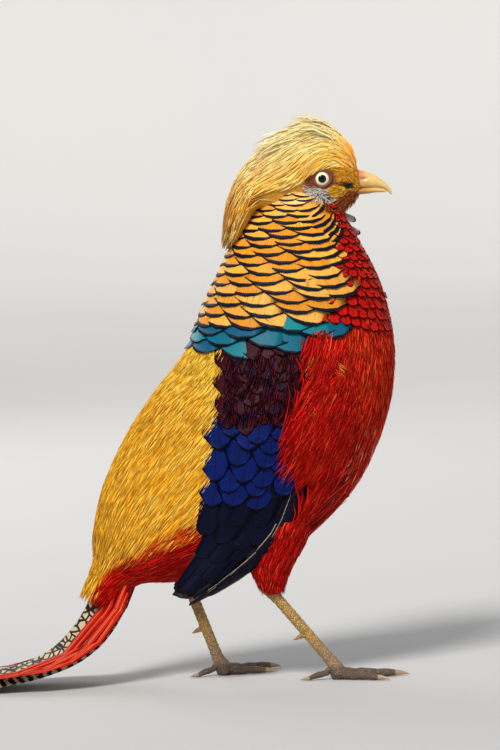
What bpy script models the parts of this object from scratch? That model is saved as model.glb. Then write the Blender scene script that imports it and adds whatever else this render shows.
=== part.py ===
"""Golden pheasant cock, life size, standing on a level floor with its long tail trailing behind it.

Metres, +Z up. The bird faces +X and its right side is at -Y. The floor is at Z = 0.
The body is one lofted trunk, parted by thin cuts into rump, torso, mantle and neck, with the head,
wings, legs and tail fitted against it. Feathers are thin closed vanes laid on those surfaces in tiers,
and each node's vanes are fused with it.
"""

import math
import random

import bmesh
import bpy
import numpy as np
from mathutils import Matrix, Vector
from mathutils.bvhtree import BVHTree

for old in list(bpy.data.objects):
    bpy.data.objects.remove(old, do_unlink=True)

GAP = 0.0003  # between pieces that touch
CUTTER_SIZE = 2.0  # of the block behind a cutting plane
RIGHT, LEFT = -1, 1  # sign of Y on each side of the bird
DICE = random.Random(7)


# Shared ways of making shapes

def along(rows, t):
    """The rows of a station table, read at t between them on a Catmull-Rom curve."""
    rows = np.asarray(rows, float)
    t = np.clip(np.asarray(t, float), 0, len(rows) - 1)
    i = np.minimum(t.astype(int), len(rows) - 2)
    f = (t - i)[..., None]
    padded = np.vstack([2 * rows[0] - rows[1], rows, 2 * rows[-1] - rows[-2]])
    a, b, c, d = (padded[i + k] for k in range(4))
    return 0.5 * (2 * b + (c - a) * f + (2 * a - 5 * b + 4 * c - d) * f**2 + (3 * b - a - 3 * c + d) * f**3)


def ring_point(rows, t, phi, grow=0.0):
    """A point on a lofted surface. A row is upper x, z, lower x, z and half width.
    phi is 0 on top and 90 degrees on the right."""
    r = along(rows, t)
    upper, lower = r[..., 0:2], r[..., 2:4]
    half = (upper - lower) / 2
    stretch = 1 + grow / np.maximum(np.linalg.norm(half, axis=-1), 1e-6)
    centre, half = (upper + lower) / 2, half * stretch[..., None]
    flat = centre + half * np.cos(phi)[..., None]
    y = -(r[..., 4] + grow) * np.sin(phi)
    return np.stack([flat[..., 0], y, flat[..., 1]], axis=-1)


def frame_on(surface, u, v):
    """Point, outward normal, and metres for each unit of u and of v, on a surface given as a function."""
    step = 1e-3
    u, v = np.asarray(u, float), np.asarray(v, float)
    by_u = (surface(u + step, v) - surface(u - step, v)) / (2 * step)
    by_v = (surface(u, v + step) - surface(u, v - step)) / (2 * step)
    normal = np.cross(by_v, by_u)
    normal /= np.maximum(np.linalg.norm(normal, axis=-1, keepdims=True), 1e-12)
    return surface(u, v), normal, np.linalg.norm(by_u, axis=-1), np.linalg.norm(by_v, axis=-1)


def closed_object(name, points, faces):
    """An object whose faces all point outwards."""
    mesh = bpy.data.meshes.new(name)
    mesh.from_pydata([tuple(p) for p in points], [], [tuple(f) for f in faces])
    work = bmesh.new()
    work.from_mesh(mesh)
    bmesh.ops.recalc_face_normals(work, faces=work.faces)
    if work.calc_volume(signed=True) < 0:
        bmesh.ops.reverse_faces(work, faces=work.faces)
    work.to_mesh(mesh)
    work.free()
    obj = bpy.data.objects.new(name, mesh)
    bpy.context.scene.collection.objects.link(obj)
    return obj


def skin_rings(name, rings):
    """A closed tube through rings of points, flat at both ends. Its sides split into triangles one way."""
    count, sides = len(rings), len(rings[0])
    faces = [tuple(range(sides)), tuple(range((count - 1) * sides, count * sides))]
    for i in range(count - 1):
        for j in range(sides):
            a, b = i * sides + j, i * sides + (j + 1) % sides
            faces += [(a, b, b + sides), (a, b + sides, a + sides)]
    return closed_object(name, np.concatenate(rings), faces)


def loft(name, rows, start, end, stations, sides, grow=0.0):
    """The stretch of a station table from start to end as a solid."""
    phi = np.linspace(0, 2 * math.pi, sides, endpoint=False)
    rings = [ring_point(rows, np.full(sides, t), phi, grow) for t in np.linspace(start, end, stations)]
    return skin_rings(name, rings)


def vane(name, top, bottom):
    """A thin closed plate between two grids of points, split into triangles alike on both faces."""
    n, m = top.shape[:2]
    index = np.arange(n * m).reshape(n, m)
    under = index + n * m
    faces = []
    for i in range(n - 1):
        for j in range(m - 1):
            a, b, c, d = index[i, j], index[i + 1, j], index[i + 1, j + 1], index[i, j + 1]
            faces += [(a, b, c), (a, c, d)]
            a, b, c, d = under[i, j], under[i + 1, j], under[i + 1, j + 1], under[i, j + 1]
            faces += [(a, c, b), (a, d, c)]
    rim = [*index[:, 0], *index[-1, 1:], *index[-2::-1, -1], *index[0, -2:0:-1]]
    for a, b in zip(rim, rim[1:] + rim[:1]):
        faces += [(b, a, a + n * m), (b, a + n * m, b + n * m)]
    return closed_object(name, np.concatenate([top.reshape(-1, 3), bottom.reshape(-1, 3)]), faces)


def apply_modifiers(obj):
    """Makes the evaluated mesh the object's own."""
    graph = bpy.context.evaluated_depsgraph_get()
    mesh = bpy.data.meshes.new_from_object(obj.evaluated_get(graph))
    obj.modifiers.clear()
    obj.data = mesh


def keep_largest(obj):
    """Keeps only the largest closed surface of a node."""
    work = bmesh.new()
    work.from_mesh(obj.data)
    left, groups = set(work.faces), []
    while left:
        todo, group = [left.pop()], []
        while todo:
            face = todo.pop()
            group.append(face)
            for edge in face.edges:
                for other in edge.link_faces:
                    if other in left:
                        left.discard(other)
                        todo.append(other)
        groups.append(group)
    groups.sort(key=lambda group: sum(face.calc_area() for face in group))
    drop = [face for group in groups[:-1] for face in group]
    bmesh.ops.delete(work, geom=drop, context="FACES")
    bmesh.ops.triangulate(work, faces=work.faces)
    work.to_mesh(obj.data)
    work.free()


def combine(obj, operation, others):
    """One Boolean of the object with a collection of closed meshes, applied, with the others then removed."""
    group = bpy.data.collections.new(obj.name + "_pieces")
    bpy.context.scene.collection.children.link(group)
    for other in others:
        group.objects.link(other)
    step = obj.modifiers.new("combine", "BOOLEAN")
    step.operation, step.operand_type, step.collection = operation, "COLLECTION", group
    step.solver = "MANIFOLD"
    bpy.context.view_layer.update()
    apply_modifiers(obj)
    for other in others:
        bpy.data.objects.remove(other, do_unlink=True)
    bpy.data.collections.remove(group)
    return obj


def fuse(obj, others):
    return combine(obj, "UNION", others) if others else obj


def carve(obj, cutters):
    return combine(obj, "DIFFERENCE", cutters) if cutters else obj


def slice_off(obj, point, normal):
    """Cuts away all that lies beyond a plane, on the side that its normal points to."""
    work = bmesh.new()
    bmesh.ops.create_cube(work, size=CUTTER_SIZE)
    bmesh.ops.translate(work, verts=work.verts, vec=(0, 0, CUTTER_SIZE / 2))
    turn = Vector(normal).to_track_quat("Z", "Y").to_matrix().to_4x4()
    work.transform(Matrix.Translation(point) @ turn)
    mesh = bpy.data.meshes.new("half")
    work.to_mesh(mesh)
    work.free()
    half = bpy.data.objects.new("half", mesh)
    bpy.context.scene.collection.objects.link(half)
    return carve(obj, [half])


def mirrored(obj, name):
    """The same piece on the other side of the bird."""
    mesh = obj.data.copy()
    mesh.transform(Matrix.Scale(-1, 4, (0, 1, 0)))
    mesh.flip_normals()
    copy = bpy.data.objects.new(name, mesh)
    bpy.context.scene.collection.objects.link(copy)
    return copy


def paint(name, colour, roughness):
    """A plain finish."""
    material = bpy.data.materials.new(name)
    material.use_nodes = True
    shader = material.node_tree.nodes["Principled BSDF"]
    shader.inputs["Base Color"].default_value = (*colour, 1)
    shader.inputs["Roughness"].default_value = roughness
    return material


GOLD = paint("gold_plumes", (0.86, 0.52, 0.07), 0.5)
AMBER = paint("amber_cape", (0.88, 0.42, 0.05), 0.5)
TURQUOISE = paint("turquoise_mantle", (0.01, 0.30, 0.36), 0.4)
SCARLET = paint("scarlet_plumage", (0.55, 0.01, 0.01), 0.5)
BLUE = paint("blue_wing", (0.01, 0.04, 0.25), 0.4)
BARRED = paint("barred_tail", (0.45, 0.36, 0.22), 0.5)
RUSTY = paint("rusty_face", (0.45, 0.18, 0.08), 0.6)
HORN = paint("bill_horn", (0.66, 0.44, 0.18), 0.35)
SCALY = paint("leg_scales", (0.52, 0.33, 0.13), 0.5)
CLAW = paint("claw_horn", (0.30, 0.20, 0.12), 0.35)
IRIS = paint("pale_eye", (0.75, 0.75, 0.45), 0.1)


def finish(obj, material):
    """Keeps the node whole and shades it smooth but for its sharp edges."""
    keep_largest(obj)
    obj.data.materials.clear()
    obj.data.materials.append(material)
    obj.data.shade_smooth()
    obj.data.set_sharp_from_angle(angle=math.radians(35))
    return obj


# Trunk: stations from the plumes' ends past the rump to the throat, upper x, z, lower x, z and half width.
# They are the bird's outline in its plumage. The core is COAT inside it wherever feathers are laid on it.

TRUNK = [
    (-0.134, 0.060, -0.108, 0.050, 0.016),
    (-0.122, 0.088, -0.088, 0.070, 0.021),
    (-0.121, 0.106, -0.062, 0.071, 0.030),
    (-0.112, 0.141, -0.030, 0.073, 0.040),
    (-0.093, 0.178, 0.004, 0.080, 0.049),
    (-0.072, 0.207, 0.039, 0.103, 0.056),
    (-0.057, 0.224, 0.071, 0.137, 0.059),
    (-0.047, 0.238, 0.091, 0.180, 0.058),
    (-0.040, 0.254, 0.098, 0.218, 0.054),
    (-0.031, 0.273, 0.096, 0.249, 0.047),
    (-0.022, 0.292, 0.089, 0.277, 0.040),
    (-0.013, 0.310, 0.078, 0.300, 0.033),
    (-0.003, 0.326, 0.068, 0.320, 0.026),
    (0.010, 0.342, 0.060, 0.337, 0.020),
]
TRUNK_SIDES, TRUNK_STATIONS = 18, 20  # of its mesh
COAT = 0.0042
BODY_END, RUMP_CUT, HEAD_CUT, THROAT_END = 1.0, 3.0, 12.0, 13.0  # stations
MANTLE_LOW = (0.2365, 0.04)  # height of the cut under the mantle at x = 0, and its rise with x
MANTLE_TOP = (0.2500, 0.04)


def smooth_step(x):
    x = np.clip(x, 0, 1)
    return x * x * (3 - 2 * x)


def core(t, phi, grow=0.0):
    """The surface that feathers are laid on: it meets the outline on the bare-looking breast and belly."""
    depth = COAT * (1 - smooth_step((np.abs(np.asarray(phi)) - math.radians(112)) / math.radians(26)))
    return ring_point(TRUNK, t, phi, grow - depth)


def core_solid(name, start=BODY_END, end=THROAT_END, stations=TRUNK_STATIONS, grow=0.0):
    phi = np.linspace(-math.pi, math.pi, TRUNK_SIDES, endpoint=False)
    rings = [core(np.full(TRUNK_SIDES, t), phi, grow) for t in np.linspace(start, end, stations)]
    return skin_rings(name, rings)


def section_plane(t):
    """A point and the forward normal of the trunk's section at t."""
    row, ahead = along(TRUNK, t), along(TRUNK, t + 0.01)
    middle, across = (row[:2] + row[2:4]) / 2, row[:2] - row[2:4]
    normal = Vector((across[1], 0, -across[0])).normalized()
    forward = ahead[:2] + ahead[2:4] - row[:2] - row[2:4]
    if normal.dot((forward[0], 0, forward[1])) < 0:
        normal.negate()
    return Vector((middle[0], 0, middle[1])), normal


def level_plane(line):
    height, rise = line
    return Vector((0, 0, height)), Vector((-rise, 0, 1)).normalized()


def trunk_length(name, low=None, high=None):
    """The core between two planes, each drawn in by half a gap."""
    piece = core_solid(name)
    for plane, sign in ((low, -1), (high, 1)):
        if plane:
            point, normal = plane
            slice_off(piece, point - normal * (sign * GAP / 2), normal * sign)
    return piece


def station_at(phi, line):
    """The station where the core, followed at one phi, crosses a level line."""
    t = np.linspace(BODY_END, THROAT_END, 240)
    points = core(t, np.full(240, phi))
    return float(np.interp(0.0, points[:, 2] - line[0] - line[1] * points[:, 0], t))


BROAD = ((0.0, 0.62), (0.66, 1.0), (1.0, 0.40))  # how far along a feather, and how wide it is there
POINTED = ((0.0, 0.62), (0.5, 1.0), (1.0, 0.14))


def lay_vane(surface, u, v, turn, length, width, lifts, shape=BROAD, thick=0.0006, rib=0.0003):
    """One feather on a surface, its tip at (u, v). It points to falling u, and turn leads it to rising v.
    lifts are the heights of its root and tip over the surface."""
    per_u = frame_on(surface, u, v)[2]
    places = np.array([s[0] for s in shape])[:, None]
    wide = np.array([s[1] for s in shape])[:, None] * width / 2 * np.array([-1.0, 0.0, 1.0])
    back = (1 - places) * length
    up = u + (back * math.cos(turn) + wide * math.sin(turn)) / per_u
    round_ = wide * math.cos(turn) - back * math.sin(turn)
    point, normal, _, _ = frame_on(surface, up, v + round_ / frame_on(surface, up, np.full_like(up, v))[3])
    height = lifts[0] + (lifts[1] - lifts[0]) * places
    half = thick / 2 + rib * np.array([0.0, 1.0, 0.0])
    top = point + normal * (height + half)[..., None]
    bottom = point + normal * (height - half)[..., None]
    return vane("vane", top, bottom)


# Head: a skull with a socket and raised lids for each eye, over the top of the throat

SKULL = [
    (0.014, 0.352, 0.016, 0.336, 0.006),
    (0.019, 0.364, 0.022, 0.327, 0.0125),
    (0.031, 0.374, 0.033, 0.319, 0.0165),
    (0.045, 0.379, 0.047, 0.318, 0.0175),
    (0.057, 0.377, 0.059, 0.321, 0.0160),
    (0.067, 0.369, 0.067, 0.326, 0.0125),
    (0.0745, 0.358, 0.0735, 0.332, 0.0085),
    (0.078, 0.3515, 0.077, 0.3355, 0.0058),
]
SKULL_GRID = (12, 16)  # stations and sides of its mesh
EYE_X, EYE_Z, EYE_RADIUS, EYE_Y = 0.051, 0.348, 0.0066, 0.0120
LID_RING, LID_THICK, LID_WIDE = 0.0058, 0.0011, 0.0015
LID_DEPTH = 0.0162  # of the lid's rim, from the middle of the head
BILL_ROOT = 0.0755  # x of the face where the bill's horn begins
UPPER_BILL = [
    (BILL_ROOT, 0.3535, BILL_ROOT, 0.3402, 0.0052),
    (0.0830, 0.3512, 0.0830, 0.3403, 0.0044),
    (0.0895, 0.3480, 0.0895, 0.3400, 0.0036),
    (0.0950, 0.3436, 0.0945, 0.3388, 0.0026),
    (0.0985, 0.3392, 0.0975, 0.3362, 0.0014),
    (0.0998, 0.3358, 0.0990, 0.3348, 0.0005),
]
LOWER_BILL = [
    (BILL_ROOT, 0.3399, BILL_ROOT, 0.3345, 0.0046),
    (0.0830, 0.3400, 0.0830, 0.3348, 0.0038),
    (0.0895, 0.3397, 0.0890, 0.3358, 0.0029),
    (0.0945, 0.3385, 0.0940, 0.3368, 0.0014),
]
NOSTRIL_X, NOSTRIL_Z, NOSTRIL_RADIUS = 0.0800, 0.3465, 0.0009
MOUTH_MIDDLE, MOUTH_SIZE = (0.0760, 0.0, 0.3400), (0.0080, 0.0200, 0.0004)  # of the gape's slit, half sizes
NOSTRIL_Y = 0.0046


def ball(name, centre, radius, segments=12, rings=7):
    work = bmesh.new()
    bmesh.ops.create_uvsphere(work, u_segments=segments, v_segments=rings, radius=radius)
    bmesh.ops.rotate(work, verts=work.verts, matrix=Matrix.Rotation(math.pi / 2, 3, "X"))
    bmesh.ops.translate(work, verts=work.verts, vec=centre)
    mesh = bpy.data.meshes.new(name)
    work.to_mesh(mesh)
    work.free()
    obj = bpy.data.objects.new(name, mesh)
    bpy.context.scene.collection.objects.link(obj)
    return obj


def lid(side):
    """The raised rim of bare skin round one eye."""
    count, sides = 12, 5
    points = []
    for turn in np.linspace(0, 2 * math.pi, count, endpoint=False):
        out = Vector((math.cos(turn), 0, math.sin(turn)))
        centre = Vector((EYE_X, side * LID_DEPTH, EYE_Z)) + out * LID_RING
        for a in np.linspace(0, 2 * math.pi, sides, endpoint=False):
            rise = Vector((0, side * LID_WIDE * math.sin(a), 0))
            points.append(centre + out * (LID_THICK * math.cos(a)) + rise)
    faces = []
    for i in range(count):
        for j in range(sides):
            k, ahead = (j + 1) % sides, (i + 1) % count
            faces.append((i * sides + j, i * sides + k, ahead * sides + k, ahead * sides + j))
    return closed_object("lid", points, faces)


def make_head():
    head = loft("head", SKULL, 0, 7, *SKULL_GRID)
    throat = core_solid("throat", HEAD_CUT - 0.3, THROAT_END, 5)
    fuse(head, [throat, lid(RIGHT), lid(LEFT)])
    point, normal = section_plane(HEAD_CUT)
    slice_off(head, point + normal * (GAP / 2), -normal)
    slice_off(head, Vector((BILL_ROOT - GAP, 0, 0)), Vector((1, 0, 0)))
    mouth = ball("mouth", Vector((0, 0, 0)), 1, 12, 6)
    mouth.data.transform(Matrix.LocRotScale(Vector(MOUTH_MIDDLE), None, Vector(MOUTH_SIZE)))
    cutters = [mouth]
    for side, word in ((RIGHT, "right"), (LEFT, "left")):
        centre = Vector((EYE_X, side * EYE_Y, EYE_Z))
        cutters.append(ball("socket", centre, EYE_RADIUS + GAP))
        finish(ball("eye_" + word, centre, EYE_RADIUS), IRIS)
    carve(head, cutters)
    finish(head, RUSTY)
    upper = loft("bill_upper", UPPER_BILL, 0, 5, 8, 10)
    pits = [
        ball("pit", Vector((NOSTRIL_X, side * NOSTRIL_Y, NOSTRIL_Z)), NOSTRIL_RADIUS, 7, 4)
        for side in (RIGHT, LEFT)
    ]
    finish(carve(upper, pits), HORN)
    finish(loft("bill_lower", LOWER_BILL, 0, 3, 5, 8), HORN)


# Cape: rows of broad feathers that hang from the face and fan round a hinge at the cheek

CAPE_ROWS = 5
CAPE_LOW = (0.2460, 0.04)  # level line of its lowest tips
CAPE_SPACING, CAPE_LENGTH = 0.0310, 0.0420
FEATHER_COVER = 0.95  # width of a feather in its row, as a share of their spacing
CAPE_HINGE = math.radians(98)
CREST_COVERS, CREST_HALF = 3, math.radians(62)  # rows of the cape under the crest, and how far round
STATION_LENGTH = 0.0205  # of the neck, for each station
FEATHER_LIFTS = (-0.0020, 0.0030)


def cape_front(t):
    """Where the cape ends on the neck's front."""
    return math.radians(float(np.interp(t, (8.7, 9.35, 10.3, 11.2, 12.0), (110, 120, 130, 142, 150))))


def cape_places():
    """Row, tip station, tip phi and turn of each feather."""
    per_phi = {t: float(frame_on(core, t, math.radians(90))[3]) for t in np.arange(8, 13)}
    for row in range(CAPE_ROWS):
        share = (row + 1) / CAPE_ROWS
        hinge_reach = share * (HEAD_CUT - station_at(CAPE_HINGE, CAPE_LOW))
        metric = per_phi[int(HEAD_CUT - hinge_reach)]
        step = CAPE_SPACING / metric
        for k in range(-14, 15):
            phi = (k + 0.5 * (row % 2)) * step
            side, size = (-1 if phi < 0 else 1), abs(phi)
            if size <= CAPE_HINGE:
                yield row, HEAD_CUT - share * (HEAD_CUT - station_at(phi, CAPE_LOW)), phi, 0.0
                continue
            swing = (size - CAPE_HINGE) * metric / (hinge_reach * STATION_LENGTH)
            tip_t = HEAD_CUT - hinge_reach * math.cos(swing)
            tip_phi = CAPE_HINGE + hinge_reach * STATION_LENGTH * math.sin(swing) / metric
            if swing < math.radians(88) and tip_phi < cape_front(tip_t):
                yield row, tip_t, side * tip_phi, side * swing


def make_cape():
    cape = trunk_length("cape", level_plane(MANTLE_TOP), section_plane(HEAD_CUT))
    vanes = []
    for row, t, phi, turn in cape_places():
        if row < CREST_COVERS and abs(phi) < CREST_HALF - 0.15 * row:
            continue
        size = DICE.uniform(0.95, 1.05)
        width = CAPE_SPACING * FEATHER_COVER
        vanes.append(lay_vane(core, t, phi, turn, CAPE_LENGTH * size, width, FEATHER_LIFTS))
    fuse(cape, vanes)
    point, normal = section_plane(HEAD_CUT)
    slice_off(cape, point - normal * (GAP / 2), normal)
    finish(cape, AMBER)


# Mantle: two rows of broad feathers between the cape and the back

MANTLE_SPACING, MANTLE_LENGTH = 0.0310, 0.0200
MANTLE_TIPS = (0.0060, 0.0005)  # how far the tips of each row hang past the lower cut
MANTLE_FRONT = math.radians(127)
MANTLE_RADIUS, MANTLE_LIFTS = 0.056, (-0.0010, 0.0028)


def make_mantle():
    mantle = trunk_length("mantle", level_plane(MANTLE_LOW), level_plane(MANTLE_TOP))
    vanes = []
    step = MANTLE_SPACING / MANTLE_RADIUS
    width = MANTLE_SPACING * FEATHER_COVER
    for row, drop in enumerate(MANTLE_TIPS):
        line = (MANTLE_LOW[0] - drop, MANTLE_LOW[1])
        lifts = (MANTLE_LIFTS[0], MANTLE_LIFTS[1] + 0.0010 * row)
        length = MANTLE_LENGTH - MANTLE_TIPS[0] + drop
        for k in range(-8, 9):
            phi = (k + 0.5 * row) * step
            if abs(phi) < MANTLE_FRONT:
                vanes.append(lay_vane(core, station_at(phi, line), phi, 0.0, length, width, lifts))
    fuse(mantle, vanes)
    point, normal = level_plane(MANTLE_TOP)
    slice_off(mantle, point - normal * (GAP / 2), normal)
    finish(mantle, TURQUOISE)


# Back and rump: silky plumes laid as tapered locks, in the torso and rump that they grow from

LOCK_SPACING, LOCK_WIDTH, LOCK_LENGTH = 0.0235, 0.0225, 0.046
BACK_ROWS = (5.50, 4.30, 3.08)  # tip stations on the torso
RUMP_ROWS = (1.80, 0.60)


def wing_back_edge(z):
    """x of the wing's rear edge at a height."""
    rows = np.array(WING)[::-1]
    return np.interp(z, rows[:, 1], rows[:, 0])


def lay_locks(rows, widest):
    locks = []
    for row, t in enumerate(rows):
        per_phi = float(frame_on(core, t, math.radians(50))[3])
        step = LOCK_SPACING / per_phi
        for k in range(-9, 10):
            phi = (k + 0.5 * (row % 2)) * step
            if abs(phi) > widest:
                continue
            tip_t = t + DICE.uniform(-0.08, 0.08)
            root = station_at(phi, MANTLE_LOW) if rows is BACK_ROWS else RUMP_CUT
            room = (root - tip_t) * float(frame_on(core, tip_t, phi)[2])
            length = min(LOCK_LENGTH * DICE.uniform(0.9, 1.05), room)
            lock = lay_vane(core, tip_t, phi, 0.12 * phi, length, LOCK_WIDTH, FEATHER_LIFTS, POINTED)
            points = np.array([v.co for v in lock.data.vertices])
            if np.any((points[:, 0] > wing_back_edge(points[:, 2]) - 0.0015) & (np.abs(points[:, 1]) > 0.02)):
                bpy.data.objects.remove(lock, do_unlink=True)
                continue
            locks.append(lock)
    return locks


def make_back():
    torso = trunk_length("torso", section_plane(RUMP_CUT), level_plane(MANTLE_LOW))
    fuse(torso, lay_locks(BACK_ROWS, math.radians(95)))
    point, normal = section_plane(RUMP_CUT)
    slice_off(torso, point + normal * (GAP / 2), -normal)
    under_mantle, up = level_plane(MANTLE_LOW)
    slice_off(torso, under_mantle - up * (GAP / 2), up)
    carve(torso, [make_shank(word, leg, GAP) for word, leg in LEGS.items()])
    finish(torso, SCARLET)
    rump = trunk_length("rump", None, section_plane(RUMP_CUT))
    fuse(rump, lay_locks(RUMP_ROWS, math.radians(100)))
    slice_off(rump, point - normal * (GAP / 2), normal)
    carve(rump, [make_shank("left", LEGS["left"], GAP)])
    finish(rump, GOLD)


# Crest: silky plumes from the forehead over the crown, hanging behind the nape.
# Stations give the middle line x, z, the side edge x, z and the half width there.

CREST = [
    (0.0765, 0.3560, 0.0740, 0.3510, 0.006),
    (0.0720, 0.3710, 0.0650, 0.3570, 0.012),
    (0.0600, 0.3840, 0.0550, 0.3610, 0.017),
    (0.0440, 0.3880, 0.0420, 0.3550, 0.020),
    (0.0260, 0.3820, 0.0300, 0.3440, 0.0225),
    (0.0080, 0.3700, 0.0180, 0.3380, 0.0245),
    (-0.0060, 0.3560, 0.0050, 0.3310, 0.0255),
    (-0.0150, 0.3380, -0.0040, 0.3220, 0.0250),
    (-0.0190, 0.3200, -0.0110, 0.3120, 0.0210),
    (-0.0210, 0.3020, -0.0170, 0.2990, 0.0150),
]
CREST_DEPTH = 0.0035  # of the plumes outside the crest's core
HEAD_ROOM, CAPE_ROOM = 0.0004, 0.0030  # from the skull and from the cape's core to the crest


def crest_rows():
    """The crest's stations as rings: the side edge is the middle of each."""
    return [(a, b, 2 * c - a, 2 * d - b, w) for a, b, c, d, w in CREST]


CREST_TIPS = (3.7, 6.2, 8.7)  # stations of the lock tips in each row
CREST_SPACING, CREST_LOCK = 0.0155, 0.044
CREST_SPREAD = math.radians(80)
CREST_ROOM = 0.010  # length of crest for each station, in front of a lock's tip


def crest_core(u, phi):
    """The crest under its plumes; u runs forward from its hanging end."""
    return ring_point(crest_rows(), -np.asarray(u), phi, -CREST_DEPTH)


def make_crest():
    crest = loft("crest", crest_rows(), 0.25, 7.6, 11, 14, -CREST_DEPTH)
    locks = []
    width = CREST_SPACING * FEATHER_COVER
    for row, t in enumerate(CREST_TIPS):
        per_phi = float(frame_on(crest_core, -t, 0.8)[3])
        step = CREST_SPACING / per_phi
        for k in range(-6, 7):
            phi = (k + 0.5 * (row % 2)) * step
            if abs(phi) < CREST_SPREAD:
                length = min(CREST_LOCK * DICE.uniform(0.92, 1.05), CREST_ROOM * t)
                locks.append(lay_vane(crest_core, -t, phi, 0.10 * phi, length, width, FEATHER_LIFTS, POINTED))
    fuse(crest, locks)
    skull = loft("skull", SKULL, 0, 7, *SKULL_GRID, HEAD_ROOM)
    carve(crest, [skull, core_solid("neck", 7.0, THROAT_END, 16, CAPE_ROOM)])
    finish(crest, GOLD)


# Wing: a plate laid on the torso's side, from the shoulder to the tip.
# Stations: rear edge x, z, front edge x, z, and how far out the plate stands where the body falls away.

WING = [
    (-0.005, 0.2285, 0.033, 0.2275, 0.026),
    (-0.019, 0.2160, 0.047, 0.2150, 0.034),
    (-0.024, 0.200, 0.050, 0.200, 0.040),
    (-0.028, 0.170, 0.046, 0.168, 0.048),
    (-0.033, 0.141, 0.037, 0.135, 0.050),
    (-0.041, 0.114, 0.022, 0.106, 0.048),
    (-0.051, 0.092, -0.008, 0.084, 0.0465),
    (-0.061, 0.074, -0.036, 0.069, 0.045),
    (-0.068, 0.061, -0.060, 0.058, 0.043),
]
WING_THICK = 0.0065  # at the middle of the shoulder
WING_COAT = 0.0035  # of the feathers outside the wing's core
WING_SOFT = 0.004  # how softly it leaves the body


def body_side():
    """A smooth trunk to measure how far out the body's side is at a place in the side view."""
    fine = loft("fine", TRUNK, 0, THROAT_END, 100, 64)
    work = bmesh.new()
    work.from_mesh(fine.data)
    tree = BVHTree.FromBMesh(work)
    work.free()
    bpy.data.objects.remove(fine)
    return tree


SIDE_TREE = body_side()


def side_of_body(x, z):
    hit = SIDE_TREE.ray_cast(Vector((x, -1, z)), Vector((0, 1, 0)))[0]
    return max(0.0, -hit.y) if hit else 0.0


def wing_point(a, b, lift):
    """A place on the right wing. a is 0 at the shoulder and 1 at the tip, b is -1 at the rear edge and 1 ahead."""
    row = along(WING, a * (len(WING) - 1))
    rear, front = row[0:2], row[2:4]
    x, z = rear + (front - rear) * (b + 1) / 2
    body, plate = side_of_body(x, z), row[4] - 0.006 * b * b
    out = WING_SOFT * np.logaddexp(body / WING_SOFT, plate / WING_SOFT)
    bulge = WING_THICK * (1 - 0.75 * b * b) * min(1.0, 0.35 + 3 * a)
    return Vector((x, -(out + bulge * (1 - 0.5 * a) + lift), z))


def wing_core(u, b):
    """The right wing under its feathers; u is 1 at the shoulder and 0 at the tip."""
    u, b = np.broadcast_arrays(np.asarray(u, float), np.asarray(b, float))
    points = [wing_point(1 - float(p), float(q), -WING_COAT) for p, q in zip(u.ravel(), b.ravel())]
    return np.array(points).reshape(*u.shape, 3)


def wing_solid(name, outer, inner, edge=1.0):
    """The right wing's plate between two heights."""
    steps_a, steps_b = np.linspace(0.0, 0.97, 10), np.linspace(-edge, edge, 5)
    top = np.array([[wing_point(a, b, outer) for b in steps_b] for a in steps_a])
    deep = np.array([[wing_point(a, b, inner - 0.004 * (1 - a)) for b in steps_b] for a in steps_a])
    return vane(name, top, deep)


WING_ROWS = (  # tip a, feathers across, length, share of the wing's width that they cover
    (0.30, 3, 0.036, 0.92),
    (0.48, 2, 0.044, 0.66),
    (0.65, 3, 0.050, 0.92),
    (0.81, 3, 0.058, 0.90),
    (0.93, 2, 0.070, 0.80),
    (0.99, 1, 0.078, 0.60),
)


def make_wings():
    wing = wing_solid("wing_right", -WING_COAT, -WING_COAT - 0.0030, 0.96)
    vanes = []
    for a, count, length, cover in WING_ROWS:
        row = along(WING, a * (len(WING) - 1))
        span = np.linalg.norm(row[2:4] - row[0:2])
        for k in range(count):
            b = cover * ((2 * k + 1) / count - 1)
            width = span * cover / count * FEATHER_COVER
            vanes.append(lay_vane(wing_core, 1 - a, b, 0.0, length, max(width, 0.010), FEATHER_LIFTS))
    fuse(wing, vanes)
    carve(wing, [core_solid("body", grow=GAP)])
    finish(wing, BLUE)
    mirrored(wing, "wing_left")


# Legs: feathered thigh, scaled shank with a spur, toes and claws

HOCK_RADIUS, SHANK_RADIUS, SCUTES = 0.0052, 0.0037, 6
LEGS = {  # joints as x, distance from the middle, z
    "right": {"side": RIGHT, "hock": (-0.001, 0.031, 0.069), "ankle": (0.044, 0.028, 0.0115), "yaw": -4},
    "left": {"side": LEFT, "hock": (-0.058, 0.021, 0.074), "ankle": (-0.036, 0.024, 0.0115), "yaw": 34},
}
TOES = (  # angle outwards, length, root radius
    ("inner", -34, 0.033, 0.0033),
    ("middle", 0, 0.043, 0.0037),
    ("outer", 33, 0.035, 0.0033),
    ("hind", 176, 0.017, 0.0026),
)
TOE_PROFILE = (  # share of the length, height and radius as shares of the root's radius
    (0.30, 1.00, 1.00),
    (0.48, 0.86, 0.86),
    (0.66, 0.96, 0.96),
    (0.84, 0.82, 0.82),
    (1.00, 0.72, 0.62),
)
TOE_SPARE = 0.002  # length past the toe's end, which is cut square
CLAW_LENGTH = {"inner": 0.009, "middle": 0.010, "outer": 0.009, "hind": 0.007}
CLAW_SINK, CLAW_CLEAR, CLAW_ROOT, CLAW_TIP = 0.85, 0.0008, 0.52, 0.0002
BALL_HEIGHT, HIND_LIFT = 0.0062, 0.0035
BALL_LINE, BALL_RADII = ((0, 0, 0.0125), (0.003, 0, 0.0052), (0.005, 0, 0.002)), (0.0046, 0.0056, 0.0046)
THIGH_RINGS = (  # centre's x from the hock, z over it, radius fore and aft, radius to the side
    (0.0140, 0.0440, 0.0240, 0.0210),
    (0.0100, 0.0280, 0.0205, 0.0185),
    (0.0050, 0.0120, 0.0160, 0.0145),
    (0.0045, 0.0010, 0.0115, 0.0105),
    (0.0055, -0.0085, 0.0080, 0.0075),
)
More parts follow.
